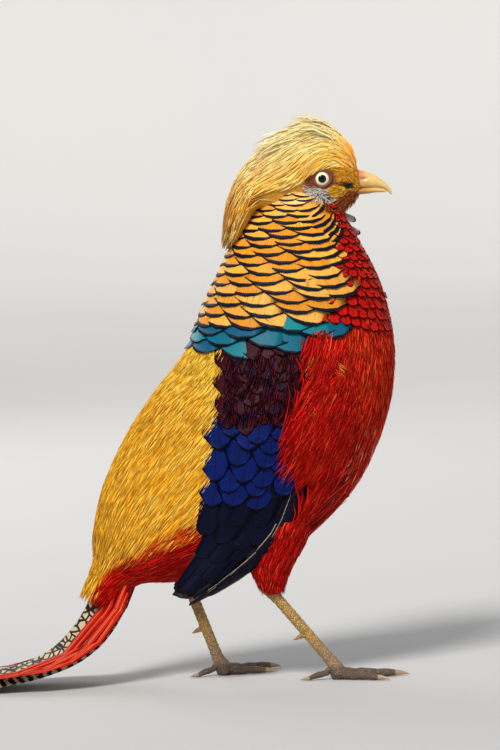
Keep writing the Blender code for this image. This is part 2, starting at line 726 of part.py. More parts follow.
SPUR_WAY, SPUR_LINE, SPUR_RADII = (-0.906, 0, -0.423), (0, 0.0060, 0.0105), (0.0024, 0.0017, 0.0003)


def tube(name, centres, radii, sides=10, flatten=1.0):
    """A closed tube of round rings along a line of centres."""
    rings, count = [], len(centres)
    for i, (centre, radius) in enumerate(zip(centres, radii)):
        ahead = centres[min(i + 1, count - 1)] - centres[max(i - 1, 0)]
        side = Vector((0, 1, 0)) if abs(ahead.normalized().y) < 0.9 else Vector((1, 0, 0))
        across = ahead.cross(side).normalized()
        other = ahead.cross(across).normalized()
        rings.append([
            centre + across * (radius * math.cos(a)) + other * (radius * flatten * math.sin(a))
            for a in np.linspace(0, 2 * math.pi, sides, endpoint=False)
        ])
    return skin_rings(name, rings)


def leg_place(leg, joint):
    x, y, z = leg[joint]
    return Vector((x, leg["side"] * y, z))


def shank_line(leg, share):
    return leg_place(leg, "hock").lerp(leg_place(leg, "ankle"), share)


def make_shank(word, leg, grow=0.0):
    """Hock to ankle, with the scutes down the front as steps in its radius."""
    shares, radii = [-0.05, 0.0, 0.08], [0.0040, HOCK_RADIUS, HOCK_RADIUS * 0.9]
    for i in range(SCUTES):
        shares += [0.14 + 0.8 * i / SCUTES, 0.14 + 0.8 * (i + 0.85) / SCUTES]
        radii += [SHANK_RADIUS * 0.94, SHANK_RADIUS * 1.07]
    shares.append(0.965)
    radii.append(SHANK_RADIUS * 1.1)
    centres = [shank_line(leg, s) for s in shares]
    return tube("shank_" + word, centres, [r + grow for r in radii], 8, 0.86)


def toe_direction(leg, angle):
    turn = math.radians(leg["yaw"] * -leg["side"] * -1 + angle * leg["side"])
    return Vector((math.cos(turn), math.sin(turn), 0))


def make_claw(word, name, tip, way, radius):
    """The claw's point sinks almost to the floor."""
    sink = CLAW_SINK * (tip.z - CLAW_CLEAR)
    bend = [
        tip + way * (CLAW_LENGTH[name] * s) - Vector((0, 0, sink * s * abs(s)))
        for s in (-0.2, 0, 0.35, 0.7, 1.0)
    ]
    root = radius * CLAW_ROOT
    claw = tube(f"claw_{word}_{name}", bend, [root, root, root * 0.85, root * 0.5, CLAW_TIP], 5)
    slice_off(claw, tip + way * GAP, -way)
    finish(claw, CLAW)


def make_foot(word, leg):
    """The toes, fused at the ball of the foot and flat underneath, and a claw on the end of each."""
    ankle = shank_line(leg, 1.0)
    base = Vector((ankle.x, ankle.y, 0))
    toes = []
    for name, angle, length, radius in TOES:
        way = toe_direction(leg, angle)
        lifted = HIND_LIFT if name == "hind" else 0.0
        centres, radii = [base + Vector((0, 0, BALL_HEIGHT + lifted))], [radius * 1.2]
        for share, height, thick in TOE_PROFILE:
            level = Vector((0, 0, radius * height + lifted * (1 - share)))
            centres.append(base + way * (length * share) + level)
            radii.append(radius * thick)
        tip = centres[-1].copy()
        centres.append(tip + way * TOE_SPARE)
        radii.append(radii[-1])
        toes.append(slice_off(tube("toe", centres, radii, 6), tip, way))
        make_claw(word, name, tip, way, radius)
    line = [base + Vector(offset) for offset in BALL_LINE]
    foot = tube("foot_" + word, line, BALL_RADII, 10)
    fuse(foot, toes)
    slice_off(foot, Vector((0, 0, 0)), Vector((0, 0, -1)))
    carve(foot, [make_shank("cutter", leg, GAP)])
    return finish(foot, SCALY)


def make_leg(word, leg):
    make_foot(word, leg)
    shank = make_shank(word, leg)
    spur = [shank_line(leg, 0.62) + Vector(SPUR_WAY) * reach for reach in SPUR_LINE]
    fuse(shank, [tube("spur", spur, SPUR_RADII, 8)])
    finish(shank, SCALY)
    hock = leg_place(leg, "hock")
    rings = [
        [
            hock + Vector((ahead + long * math.cos(a), wide * math.sin(a), up))
            for a in np.linspace(0, 2 * math.pi, 10, endpoint=False)
        ]
        for ahead, up, long, wide in THIGH_RINGS
    ]
    thigh = skin_rings("thigh_" + word, rings)
    wing = wing_solid("wing_room", 0.010, -WING_COAT - 0.0040, 1.02)
    if leg["side"] == LEFT:
        right_wing, wing = wing, mirrored(wing, "left_wing_room")
        bpy.data.objects.remove(right_wing, do_unlink=True)
    carve(thigh, [core_solid("body", grow=GAP), make_shank("cutter", leg, GAP), wing])
    finish(thigh, SCARLET)


# Tail: rectrices stacked like nested roofs, laid along the floor

TAIL_START = (-0.1035, 0.1010)  # ridge of the tail, inside the rump
TAIL_PITCH = math.radians(63)
TAIL_BEND = 0.118  # arc length over which the tail turns level
TAIL_REST = 0.0135  # height of the ridge where it is level
TAIL_SINK = 0.0105  # how far the ridge sinks to the floor where fewer feathers lie under it
TAIL_LENGTH = 0.700


def tail_line():
    """The ridge line, as tables of arc length, x, z and downward pitch."""
    s = np.linspace(0, TAIL_LENGTH, 701)
    ds = s[1]
    bend_drop = np.sum(np.sin(TAIL_PITCH * (1 - smooth_step(s[s < TAIL_BEND] / TAIL_BEND)))) * ds
    straight = (TAIL_START[1] - TAIL_REST - bend_drop) / math.sin(TAIL_PITCH)
    pitch = TAIL_PITCH * (1 - smooth_step((s - straight) / TAIL_BEND))
    x = TAIL_START[0] - np.concatenate([[0], np.cumsum(np.cos(pitch[:-1]) * ds)])
    z = TAIL_START[1] - np.concatenate([[0], np.cumsum(np.sin(pitch[:-1]) * ds)])
    return s, x, z, pitch


TAIL_S, TAIL_X, TAIL_Z, TAIL_TURN = tail_line()


def tail_slope(s):
    """How steeply the vanes fall to each side of the ridge."""
    return math.radians(58) + (math.radians(9) - math.radians(58)) * smooth_step((s - 0.03) / 0.095)


def tail_point(s, w, depth):
    """A place on the tail: s along it, w to the left of the ridge, depth square under its upper face."""
    x, z, turn = (np.interp(s, TAIL_S, table) for table in (TAIL_X, TAIL_Z, TAIL_TURN))
    sink = TAIL_SINK * smooth_step((s - 0.18) / 0.50)
    slope = tail_slope(s)
    fall = np.sqrt(w * w + 0.003**2) - 0.003
    down = fall * np.sin(slope) + depth / np.cos(slope)
    up_x, up_z = -np.sin(turn), np.cos(turn)
    return np.stack([x - up_x * down, w * np.cos(slope) + 0 * x, z - up_z * down - sink], axis=-1)


RECTRICES = (0.700, 0.560, 0.420, 0.280, 0.170)  # lengths, from the middle pair outwards
LAYER = 0.0012  # from one pair to the next below it; the left feather of a pair is half of that lower
BLADE, RIDGE = 0.00026, 0.00065  # half thicknesses of the vane's blade and of its edge along the ridge
TAIL_STATIONS = (0.012, 0.040, 0.065, 0.090, 0.115, 0.140, 0.170, 0.250, 0.420, 0.580)
ROOT_OUTLINE = ((0.012, 0.30), (0.040, 0.74), (0.065, 0.90), (0.090, 0.97), (0.115, 1.0))  # arc length, width
TIP_OUTLINE = ((0.5, 1.0), (0.62, 0.93), (0.85, 0.60), (1.0, 0.07))  # share of length, share of width
HALF_WIDTH, STEP_OUT = 0.0285, 0.0018  # of the tail, and how much wider each pair lies than the one over it
RIDGE_EDGES = (-0.0016, 0.0024)  # where the thick inner edge of each feather begins and ends


def rectrix(side, pair, grow=0.0):
    """One tail feather: its thick inner edge over the ridge and its vane to one side."""
    end = RECTRICES[pair]
    s = np.array([x for x in TAIL_STATIONS if x < end - 0.02] + [end])
    wide = np.interp(s, *np.array(ROOT_OUTLINE).T) * np.interp(s / end, *np.array(TIP_OUTLINE).T)
    outer = HALF_WIDTH * wide + STEP_OUT * pair * smooth_step((s - 0.09) / 0.05) + grow
    first = np.full_like(s, RIDGE_EDGES[0] - grow)
    second = np.minimum(np.full_like(s, RIDGE_EDGES[1]), outer * 0.5)
    w = np.stack([first, second, (second + outer) / 2, outer], axis=1)
    half = np.array([RIDGE, RIDGE, BLADE, BLADE]) + grow
    depth = 0.0006 + LAYER * (pair + (0.5 if side == LEFT else 0.0))
    columns = s[:, None] + 0 * w
    top, bottom = tail_point(columns, side * w, depth - half), tail_point(columns, side * w, depth + half)
    return vane("rectrix", top, bottom)


def tail_stub():
    """The fleshy root that every tail feather is set in."""
    rings = []
    for s in (0.0, 0.020, 0.040, 0.052):
        half = 0.011 if s < 0.05 else 0.006
        w = np.array([-half, -half / 2, 0, half / 2, half])
        upper = tail_point(np.full(5, s), w, 0.0002)
        lower = tail_point(np.full(5, s), w[::-1], 0.0068 if s < 0.05 else 0.005)
        rings.append(np.concatenate([upper, lower]))
    return skin_rings("tail", rings)


TAIL_CUTS = {"root": (0.0, 0.080), "bend": (0.080, 0.165), "train": (0.165, 0.420), "end": (0.420, 1.0)}


def tail_plane(s):
    turn, x, z = (float(np.interp(s, TAIL_S, table)) for table in (TAIL_TURN, TAIL_X, TAIL_Z))
    return Vector((x, 0, z)), Vector((-math.cos(turn), 0, -math.sin(turn)))


def make_tail():
    feathers = [rectrix(side, pair) for pair in range(len(RECTRICES)) for side in (RIGHT, LEFT)]
    whole = fuse(tail_stub(), feathers)
    for word, (start, end) in TAIL_CUTS.items():
        length = whole.copy()
        length.data = whole.data.copy()
        length.name = "tail_" + word
        bpy.context.scene.collection.objects.link(length)
        for s, sign in ((start, -1), (end, 1)):
            if 0 < s < TAIL_LENGTH:
                point, way = tail_plane(s)
                slice_off(length, point - way * (sign * GAP / 2), way * sign)
        if word == "root":
            carve(length, [core_solid("body", grow=GAP)])
        finish(length, BARRED)
    bpy.data.objects.remove(whole)


# Upper tail coverts: narrow, pointed scarlet feathers over each side of the tail's root

COVERTS = (  # side distance from the ridge, arc length of the tip, height over the tail
    (0.0090, 0.140, 0.0017),
    (0.0155, 0.170, 0.0028),
    (0.0220, 0.170, 0.0017),
    (0.0285, 0.140, 0.0028),
)
COVERT_HALF, COVERT_START = 0.0050, 0.030


def covert(side, w, end, height):
    s = np.array([COVERT_START] + [x for x in TAIL_STATIONS if COVERT_START < x <= end])
    share = (s - s[0]) / (end - s[0])
    wide = COVERT_HALF * np.interp(share, (0, 0.15, 0.5, 0.75, 1.0), (0.7, 1.0, 1.0, 0.75, 0.1))
    places = w + wide[:, None] * np.array([-1.0, 0.0, 1.0])
    half = np.array([BLADE, 0.0005, BLADE])
    columns = s[:, None] + 0 * places
    top = tail_point(columns, side * places, -height - half)
    return vane("covert", top, tail_point(columns, side * places, -height + half))


def make_coverts(side, word):
    w = np.linspace(COVERTS[0][0] - 0.003, COVERTS[-1][0] + 0.003, 4)
    s = np.array([COVERT_START - 0.004, COVERT_START + 0.006])
    columns, places = np.meshgrid(s, side * w, indexing="ij")
    skin = vane("coverts_" + word, tail_point(columns, places, -0.0036), tail_point(columns, places, -0.0010))
    fuse(skin, [covert(side, *sizes) for sizes in COVERTS])
    carve(skin, [core_solid("body", grow=GAP)] + [rectrix(side, pair, GAP) for pair in range(len(RECTRICES))])
    skin.name = "tail_coverts_" + word
    finish(skin, SCARLET)


def stand_on_floor():
    """Puts the origin on the floor, under the middle of the bird's box."""
    nodes = [o for o in bpy.context.scene.objects if o.type == "MESH"]
    corners = np.concatenate([[o.matrix_world @ v.co for v in o.data.vertices] for o in nodes])
    low, high = corners.min(axis=0), corners.max(axis=0)
    shift = Vector((-(low[0] + high[0]) / 2, -(low[1] + high[1]) / 2, -low[2]))
    for obj in nodes:
        obj.data.transform(Matrix.Translation(shift))


make_head()
make_cape()
make_mantle()
make_back()
make_crest()
make_wings()
for leg_word, leg_sizes in LEGS.items():
    make_leg(leg_word, leg_sizes)
make_tail()
make_coverts(RIGHT, "right")
make_coverts(LEFT, "left")
stand_on_floor()
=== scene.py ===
import math

import bmesh
import bpy
import numpy as np
from mathutils import Matrix, Vector
from mathutils.bvhtree import BVHTree
from mathutils.kdtree import KDTree


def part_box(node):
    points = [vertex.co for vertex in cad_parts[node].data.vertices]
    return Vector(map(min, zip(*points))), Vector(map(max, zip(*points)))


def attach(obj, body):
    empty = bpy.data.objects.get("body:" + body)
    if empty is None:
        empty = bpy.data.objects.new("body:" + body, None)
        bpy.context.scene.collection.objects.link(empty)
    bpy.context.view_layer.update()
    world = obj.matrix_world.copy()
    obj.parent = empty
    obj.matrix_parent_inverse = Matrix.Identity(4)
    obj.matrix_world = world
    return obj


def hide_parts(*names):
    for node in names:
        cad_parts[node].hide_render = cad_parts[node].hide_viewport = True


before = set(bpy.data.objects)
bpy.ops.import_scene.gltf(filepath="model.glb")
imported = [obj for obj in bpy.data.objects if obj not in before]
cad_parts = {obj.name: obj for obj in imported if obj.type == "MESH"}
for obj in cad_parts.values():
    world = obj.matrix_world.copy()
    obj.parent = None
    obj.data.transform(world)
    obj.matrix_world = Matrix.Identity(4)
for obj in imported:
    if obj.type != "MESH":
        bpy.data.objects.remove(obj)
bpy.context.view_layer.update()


# The bird stands on a plain pale floor that turns up into a pale wall all round, under soft studio light.
# The camera looks at its right side from a little above, and leans as it does in the photograph.
# BIRD is where the bird's own origin lies in the frame. Its right eye gives the place.
EYE = np.array([0.051, 0.0120, 0.348])  # centre of the left eyeball, from the bird's origin
eye_low, eye_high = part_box("eye_right")
BIRD = np.array([(eye_low.x + eye_high.x) / 2 - EYE[0], 0.0, 0.0])
RIGHT, LEFT = -1, 1
SIDES = ((RIGHT, "right"), (LEFT, "left"))
CAMERA_DISTANCE = 3.0
CAMERA_RISE = math.radians(3)
CAMERA_LEAN = math.radians(2.5)
VIEW_MIDDLE = Vector((-0.005, 0.0, 0.213))  # from the bird's origin
VIEW_HEIGHT = 0.525
SENSOR_HEIGHT = 36.0
FLOOR_REACH = 7.0  # radius of the flat floor
WALL_REACH = 10.0
WALL_HEIGHT = 7.0
FLOOR_PALE, FLOOR_PALER = (0.48, 0.49, 0.50, 1), (0.52, 0.52, 0.52, 1)
SKY, SKY_STRENGTH = (0.90, 0.90, 0.90, 1), 0.42
LIGHTS = (  # name, kind, place from the bird, size or angle, strength, colour
    ("key", "SUN", (-1.0, -2.2, 2.4), 0.30, 3.7, (1.0, 0.96, 0.90)),
    ("fill", "AREA", (2.4, -1.8, 1.0), 2.2, 16, (0.92, 0.96, 1.0)),
    ("back", "AREA", (-1.5, 2.3, 1.5), 1.6, 26, (0.95, 0.97, 1.0)),
)


def start_material(name, **values):
    """A Principled material. The values are set on the shader's own sockets."""
    material = bpy.data.materials.new(name)
    material.use_nodes = True
    shader = material.node_tree.nodes["Principled BSDF"]
    for socket, value in values.items():
        shader.inputs[socket.replace("_", " ")].default_value = value
    return material, material.node_tree, shader


def add_node(tree, kind, settings=None, **inputs):
    """A node with its settings and inputs. An input is a value, or an output socket to link from."""
    node = tree.nodes.new("ShaderNode" + kind)
    for key, value in (settings or {}).items():
        setattr(node, key, value)
    for key, value in inputs.items():
        socket = node.inputs[int(key[1:]) if key[1:].isdigit() else key.replace("_", " ")]
        if isinstance(value, bpy.types.NodeSocket):
            tree.links.new(value, socket)
        else:
            socket.default_value = value
    return node


def mix_colours(tree, mask, first, second, blend="MIX"):
    """The first colour where the mask is 0 and the second where it is 1."""
    settings = {"data_type": "RGBA", "blend_type": blend}
    return add_node(tree, "Mix", settings, i0=mask, i6=first, i7=second).outputs[2]


def maths(tree, operation, first, second=0.0, clamp=False):
    """One sum on two values, each a number or a socket."""
    settings = {"operation": operation, "use_clamp": clamp}
    return add_node(tree, "Math", settings, i0=first, i1=second).outputs[0]


def step_up(tree, value, low, high):
    """0 below low and 1 above high, smooth between them."""
    settings = {"interpolation_type": "SMOOTHSTEP"}
    return add_node(tree, "MapRange", settings, i0=value, i1=low, i2=high).outputs[0]


def object_place(tree):
    return add_node(tree, "TexCoord").outputs["Object"]


def noise(tree, place, scale, detail=3.0):
    return add_node(tree, "TexNoise", Vector=place, Scale=scale, Detail=detail).outputs["Fac"]


def object_noise(tree, scale, detail=3.0):
    return noise(tree, object_place(tree), scale, detail)


def paint(tree, shader, colour):
    tree.links.new(colour, shader.inputs["Base Color"])


def roughen(tree, shader, height, distance, strength=1.0):
    """Small relief that only tilts the light, for grain too fine to model."""
    bump = add_node(tree, "Bump", Height=height, Distance=distance, Strength=strength)
    tree.links.new(bump.outputs[0], shader.inputs["Normal"])


def to_object(work, name, material):
    """Ends a bmesh as a smooth, outward-facing object with its place in its mesh."""
    bmesh.ops.recalc_face_normals(work, faces=work.faces)
    mesh = bpy.data.meshes.new(name)
    work.to_mesh(mesh)
    work.free()
    mesh.materials.append(material)
    mesh.shade_smooth()
    obj = bpy.data.objects.new(name, mesh)
    bpy.context.scene.collection.objects.link(obj)
    return obj


plain, plain_tree, plain_shader = start_material("pale_floor", Roughness=0.75)
cloud = object_noise(plain_tree, 1.2)
paint(plain_tree, plain_shader, mix_colours(plain_tree, cloud, FLOOR_PALE, FLOOR_PALER))
floor_work = bmesh.new()
turn_up = [(FLOOR_REACH + (WALL_REACH - FLOOR_REACH) * math.sin(a), WALL_HEIGHT * (1 - math.cos(a)))
           for a in np.linspace(0, math.pi / 2, 12)]
profile = [floor_work.verts.new((x, 0, z)) for x, z in [(0, 0)] + turn_up]
for near, far in zip(profile, profile[1:]):
    floor_work.edges.new((near, far))
bmesh.ops.spin(floor_work, geom=floor_work.verts[:] + floor_work.edges[:], axis=(0, 0, 1), cent=(0, 0, 0),
               steps=64, angle=2 * math.pi, use_merge=True)
bmesh.ops.remove_doubles(floor_work, verts=floor_work.verts, dist=1e-4)
floor = to_object(floor_work, "floor", plain)
floor.data.flip_normals()

for light_name, kind, place, size, strength, light_colour in LIGHTS:
    lamp = bpy.data.lights.new(light_name, kind)
    lamp.energy, lamp.color = strength, light_colour
    if kind == "SUN":
        lamp.angle = size
    else:
        lamp.size = size
    lamp_object = bpy.data.objects.new(light_name, lamp)
    lamp_object.location = Vector(BIRD) + Vector(place)
    beam = Vector(BIRD) + VIEW_MIDDLE - lamp_object.location
    lamp_object.rotation_euler = beam.to_track_quat("-Z", "Y").to_euler()
    bpy.context.scene.collection.objects.link(lamp_object)
world = bpy.data.worlds.new("studio")
world.use_nodes = True
sky = world.node_tree.nodes["Background"]
sky.inputs["Color"].default_value = SKY
sky.inputs["Strength"].default_value = SKY_STRENGTH
bpy.context.scene.world = world
bpy.context.scene.view_settings.view_transform = "Standard"

ahead = Vector((0, math.cos(CAMERA_RISE), -math.sin(CAMERA_RISE)))
across = Vector((1, 0, 0))
above = across.cross(ahead)
lean = math.sin(CAMERA_LEAN)
camera_data = bpy.data.cameras.new("camera")
camera_data.sensor_fit = "VERTICAL"
camera_data.sensor_height = SENSOR_HEIGHT
camera_data.lens = SENSOR_HEIGHT * CAMERA_DISTANCE / VIEW_HEIGHT
camera = bpy.data.objects.new("camera", camera_data)
camera_right = across * math.cos(CAMERA_LEAN) - above * lean
camera_up = across * lean + above * math.cos(CAMERA_LEAN)
turned = Matrix((camera_right, camera_up, -ahead)).transposed().to_4x4()
eye_place = Vector(BIRD) + VIEW_MIDDLE - ahead * CAMERA_DISTANCE
camera.matrix_world = Matrix.Translation(eye_place) @ turned
bpy.context.scene.collection.objects.link(camera)
bpy.context.scene.camera = camera


# The skin of the body, neck, head, thighs and folded wings, with no seam. It lies under the plumage
# by the coat's depth and has the plumage's colours, with bare reddish skin round the eyes. The lofted
# trunk, skull, thighs and wing plates are joined by a voxel remesh, then smoothed.
TRUNK = [  # upper line x, z, lower line x, z, half width; from the tail's root to the throat
    (-0.134, 0.060, -0.108, 0.050, 0.016),
    (-0.122, 0.088, -0.088, 0.070, 0.021),
    (-0.121, 0.106, -0.062, 0.071, 0.030),
    (-0.112, 0.141, -0.030, 0.073, 0.040),
    (-0.093, 0.178, 0.004, 0.080, 0.049),
    (-0.072, 0.207, 0.039, 0.103, 0.056),
    (-0.057, 0.224, 0.071, 0.137, 0.059),
    (-0.047, 0.238, 0.091, 0.180, 0.058),
    (-0.040, 0.254, 0.098, 0.218, 0.054),
    (-0.031, 0.273, 0.096, 0.249, 0.047),
    (-0.022, 0.292, 0.089, 0.277, 0.040),
    (-0.013, 0.310, 0.078, 0.300, 0.033),
    (-0.003, 0.326, 0.068, 0.320, 0.026),
    (0.010, 0.342, 0.060, 0.337, 0.020),
]
SKULL = [  # the same, from the neck to the bill
    (0.014, 0.352, 0.016, 0.336, 0.006),
    (0.019, 0.364, 0.022, 0.327, 0.0125),
    (0.031, 0.374, 0.033, 0.319, 0.0165),
    (0.045, 0.379, 0.047, 0.318, 0.0175),
    (0.057, 0.377, 0.059, 0.321, 0.0160),
    (0.067, 0.369, 0.067, 0.326, 0.0125),
    (0.0745, 0.358, 0.0735, 0.332, 0.0085),
    (0.078, 0.3515, 0.077, 0.3355, 0.0058),
]
THIGH = (  # centre's x from the hock, z over it, radius fore and aft, radius to the side
    (0.0140, 0.0440, 0.0240, 0.0210),
    (0.0100, 0.0280, 0.0205, 0.0185),
    (0.0050, 0.0120, 0.0160, 0.0145),
    (0.0045, 0.0010, 0.0115, 0.0105),
    (0.0055, -0.0085, 0.0080, 0.0075),
)
LEGS = {  # joints as x, distance from the middle, z; yaw of the foot in degrees, outwards
    "right": {"side": RIGHT, "hock": (-0.001, 0.031, 0.069), "ankle": (0.044, 0.028, 0.0115), "yaw": -4},
    "left": {"side": LEFT, "hock": (-0.058, 0.021, 0.074), "ankle": (-0.036, 0.024, 0.0115), "yaw": 34},
}
WING = [  # rear edge x, z, front edge x, z, and how far out the wing stands where the body falls away
    (-0.021, 0.2400, 0.048, 0.2440, 0.020),
    (-0.021, 0.2290, 0.049, 0.2300, 0.026),
    (-0.022, 0.2160, 0.050, 0.2150, 0.034),
    (-0.024, 0.2000, 0.050, 0.2000, 0.040),
    (-0.028, 0.1700, 0.046, 0.1680, 0.048),
    (-0.033, 0.1410, 0.037, 0.1350, 0.050),
    (-0.041, 0.1140, 0.022, 0.1060, 0.048),
    (-0.051, 0.0920, -0.008, 0.0840, 0.0465),
    (-0.061, 0.0740, -0.036, 0.0690, 0.045),
    (-0.068, 0.0610, -0.060, 0.0580, 0.043),
]
COAT, FACE_COAT, THIGH_COAT, WING_COAT = 0.0042, 0.0007, 0.0028, 0.0035  # depths of the plumage
WING_THICK = 0.0065  # how far the folded wing swells out
WING_CURVE = 0.006  # how far its edges fall back from its middle
WING_CORE = 0.0045  # thickness of the wing's plate in the skin
WING_SOFT = 0.004  # how softly the wing passes over on to the body
WING_TUCK = 0.012  # how fast its surface turns in past the front edge
SKIN_GRAIN = 0.0014  # edge of a voxel
GOLD, STRAW, AMBER = (0.95, 0.46, 0.008), (1.0, 0.68, 0.08), (0.82, 0.25, 0.006)
SCARLET, CRIMSON, EMBER = (0.74, 0.009, 0.004), (0.38, 0.003, 0.003), (0.84, 0.17, 0.006)
RUST, CREAM, ASH, SOOT = (0.38, 0.095, 0.020), (0.82, 0.66, 0.42), (0.70, 0.70, 0.71), (0.012, 0.008, 0.010)
MAROON, NAVY = (0.055, 0.004, 0.012), (0.006, 0.008, 0.030)
BARE_SKIN, LAPPET, FOREHEAD = (0.30, 0.055, 0.030), (1.0, 0.52, 0.01), (1.0, 0.46, 0.015)


def along(rows, t):
    """The rows of a station table, read at t between them on a Catmull-Rom curve."""
    rows = np.asarray(rows, float)
    t = np.clip(np.asarray(t, float), 0, len(rows) - 1)
    i = np.minimum(t.astype(int), len(rows) - 2)
    f = (t - i)[..., None]
    padded = np.vstack([2 * rows[0] - rows[1], rows, 2 * rows[-1] - rows[-2]])
    a, b, c, d = (padded[i + k] for k in range(4))
    return 0.5 * (2 * b + (c - a) * f + (2 * a - 5 * b + 4 * c - d) * f**2 + (3 * b - a - 3 * c + d) * f**3)


def smooth_step(x, low=0.0, high=1.0):
    """0 below low and 1 above high, smooth between them."""
    x = np.clip((np.asarray(x, float) - low) / (high - low), 0, 1)
    return x * x * (3 - 2 * x)


def ring_point(rows, t, phi, grow=0.0):
    """A place on a lofted surface. phi is 0 on top and 90 degrees on the bird's right."""
    t, phi = np.broadcast_arrays(np.asarray(t, float), np.asarray(phi, float))
    r = along(rows, t)
    upper, lower = r[..., 0:2], r[..., 2:4]
    half = (upper - lower) / 2
    stretch = 1 + grow / np.maximum(np.linalg.norm(half, axis=-1), 1e-6)
    middle, half = (upper + lower) / 2, half * stretch[..., None]
    flat = middle + half * np.cos(phi)[..., None]
    y = -(r[..., 4] + grow) * np.sin(phi)
    return np.stack([flat[..., 0], y, flat[..., 1]], axis=-1) + BIRD


def body_skin(t, phi):
    return ring_point(TRUNK, t, phi, -COAT)


def face_skin(t, phi):
    return ring_point(SKULL, t, phi, -FACE_COAT)


def thigh_skin(leg):
    """The surface of one thigh: u is 0 at its lower end and 4 inside the body, v turns round it."""
    hock = np.array(leg["hock"]) * (1, leg["side"], 1)

    def surface(u, v):
        u, v = np.broadcast_arrays(np.asarray(u, float), np.asarray(v, float))
        r = along(THIGH[::-1], u)
        x = r[..., 0] + (r[..., 2] - THIGH_COAT) * np.cos(v)
        y = (r[..., 3] - THIGH_COAT) * np.sin(v)
        return np.stack([x, y, r[..., 1]], axis=-1) + hock + BIRD

    return surface


def loft(work, rings):
    """Joins rings of points into a closed tube with operators, in a bmesh."""
    loops = []
    for i, ring in enumerate(rings):
        at_end = i in (0, len(rings) - 1)
        circle = bmesh.ops.create_circle(work, segments=len(ring), radius=1, cap_ends=at_end)["verts"]
        for vert, place in zip(circle, ring):
            vert.co = place
        loops.append(list(dict.fromkeys(edge for vert in circle for edge in vert.link_edges)))
    for low, high in zip(loops, loops[1:]):
        bmesh.ops.bridge_loops(work, edges=low + high)


def lofted_rings(surface, stations, sides):
    phi = np.linspace(0, 2 * math.pi, sides, endpoint=False)
    return [surface(np.full(sides, t), phi) for t in stations]


side_work = bmesh.new()
loft(side_work, lofted_rings(lambda t, phi: ring_point(TRUNK, t, phi), np.linspace(0, 13, 53), 72))
side_tree = BVHTree.FromBMesh(side_work)
side_work.free()
SIDE_X, SIDE_Z = np.linspace(-0.10, 0.11, 106) + BIRD[0], np.linspace(0.03, 0.27, 121)


def body_half_width(x, z):
    """Half width of the body at one place on its side, and 0 beyond its outline."""
    hit = side_tree.ray_cast(Vector((x, -1, z)), Vector((0, 1, 0)))[0]
    return max(0.0, -hit.y) if hit else 0.0


SIDE_WIDTH = np.array([[body_half_width(x, z) for z in SIDE_Z] for x in SIDE_X])


def side_of_body(x, z):
    """Half width of the body at a place on its side, read between the places of a grid."""
    i = np.clip((x - SIDE_X[0]) / (SIDE_X[1] - SIDE_X[0]), 0, len(SIDE_X) - 1.001)
    j = np.clip((z - SIDE_Z[0]) / (SIDE_Z[1] - SIDE_Z[0]), 0, len(SIDE_Z) - 1.001)
    ii, jj = i.astype(int), j.astype(int)
    p, q = i - ii, j - jj
    low = SIDE_WIDTH[ii, jj] * (1 - q) + SIDE_WIDTH[ii, jj + 1] * q
    high = SIDE_WIDTH[ii + 1, jj] * (1 - q) + SIDE_WIDTH[ii + 1, jj + 1] * q
    return low * (1 - p) + high * p


def wing_skin(side, lift=-WING_COAT):
    """The surface of a folded wing. u is 1 at the shoulder and 0 at the tip, v is -1 at the rear edge."""

    def surface(u, v):
        u, v = np.broadcast_arrays(np.asarray(u, float), np.asarray(v, float))
        a = np.clip(1 - u, 0, 1)
        row = along(WING, a * (len(WING) - 1))
        spot = row[..., 0:2] + (row[..., 2:4] - row[..., 0:2]) * (v[..., None] + 1) / 2
        body = side_of_body(spot[..., 0] + BIRD[0], spot[..., 1])
        plate = row[..., 4] - WING_CURVE * v * v
        out = WING_SOFT * np.logaddexp(body / WING_SOFT, plate / WING_SOFT)
        bulge = WING_THICK * np.maximum(1 - 0.75 * v * v, 0) * np.clip(3 * a - 0.3, 0, 1)
        out = out - WING_TUCK * np.maximum(v - 1, 0)
        y = side * (out + bulge * (1 - 0.5 * a) + lift)
        return np.stack([spot[..., 0], y, spot[..., 1]], axis=-1) + BIRD

    return surface


def closed_plate(work, outer, inner):
    """A closed plate between two grids of places, from a grid and its extrusion."""
    rows, columns = outer.shape[:2]
    made = bmesh.ops.create_grid(work, x_segments=columns - 1, y_segments=rows - 1, size=1)["verts"]
    for vert, place in zip(made, outer.reshape(-1, 3)):
        vert.co = place
    faces = list(dict.fromkeys(face for vert in made for face in vert.link_faces))
    wall = bmesh.ops.extrude_face_region(work, geom=faces, use_keep_orig=True)["geom"]
    copies = [item for item in wall if isinstance(item, bmesh.types.BMVert)]
    order = KDTree(rows * columns)
    for i, place in enumerate(outer.reshape(-1, 3)):
        order.insert(place, i)
    order.balance()
    for vert in copies:
        vert.co = inner.reshape(-1, 3)[order.find(vert.co)[1]]


def mixed(first, second, mask):
    """Colours between two, one for each value of the mask."""
    mask = np.asarray(mask, float)[..., None]
    return np.asarray(first, float) * (1 - mask) + np.asarray(second, float) * mask


def gold_edge(t):
    """How far round the back the golden plumes reach, to the red of the flank."""
    return np.radians(np.interp(t, (0.5, 1.5, 3.0, 5.0, 7.5), (76, 86, 101, 112, 118)))


def cape_front(t):
    """Where the cape ends on the neck's front."""
    return np.radians(np.interp(t, (8.7, 9.35, 10.3, 11.2, 12.0), (110, 120, 130, 142, 150)))


def body_colours(t, phi):
    """The plumage's colour at a place on the trunk."""
    round_ = np.abs(phi)
    red_side = smooth_step(round_ - gold_edge(t), -0.10, 0.16)
    colour = mixed(GOLD, SCARLET, red_side)
    colour = mixed(colour, EMBER, smooth_step(1.9 - t, 0, 1.2) * (1 - red_side) * 0.6)
    neck = smooth_step(t, 7.9, 8.3) * (1 - smooth_step(round_ - cape_front(t), -0.05, 0.05))
    colour = mixed(colour, AMBER, neck)
    return mixed(colour, RUST, smooth_step(t, 12.2, 12.9))


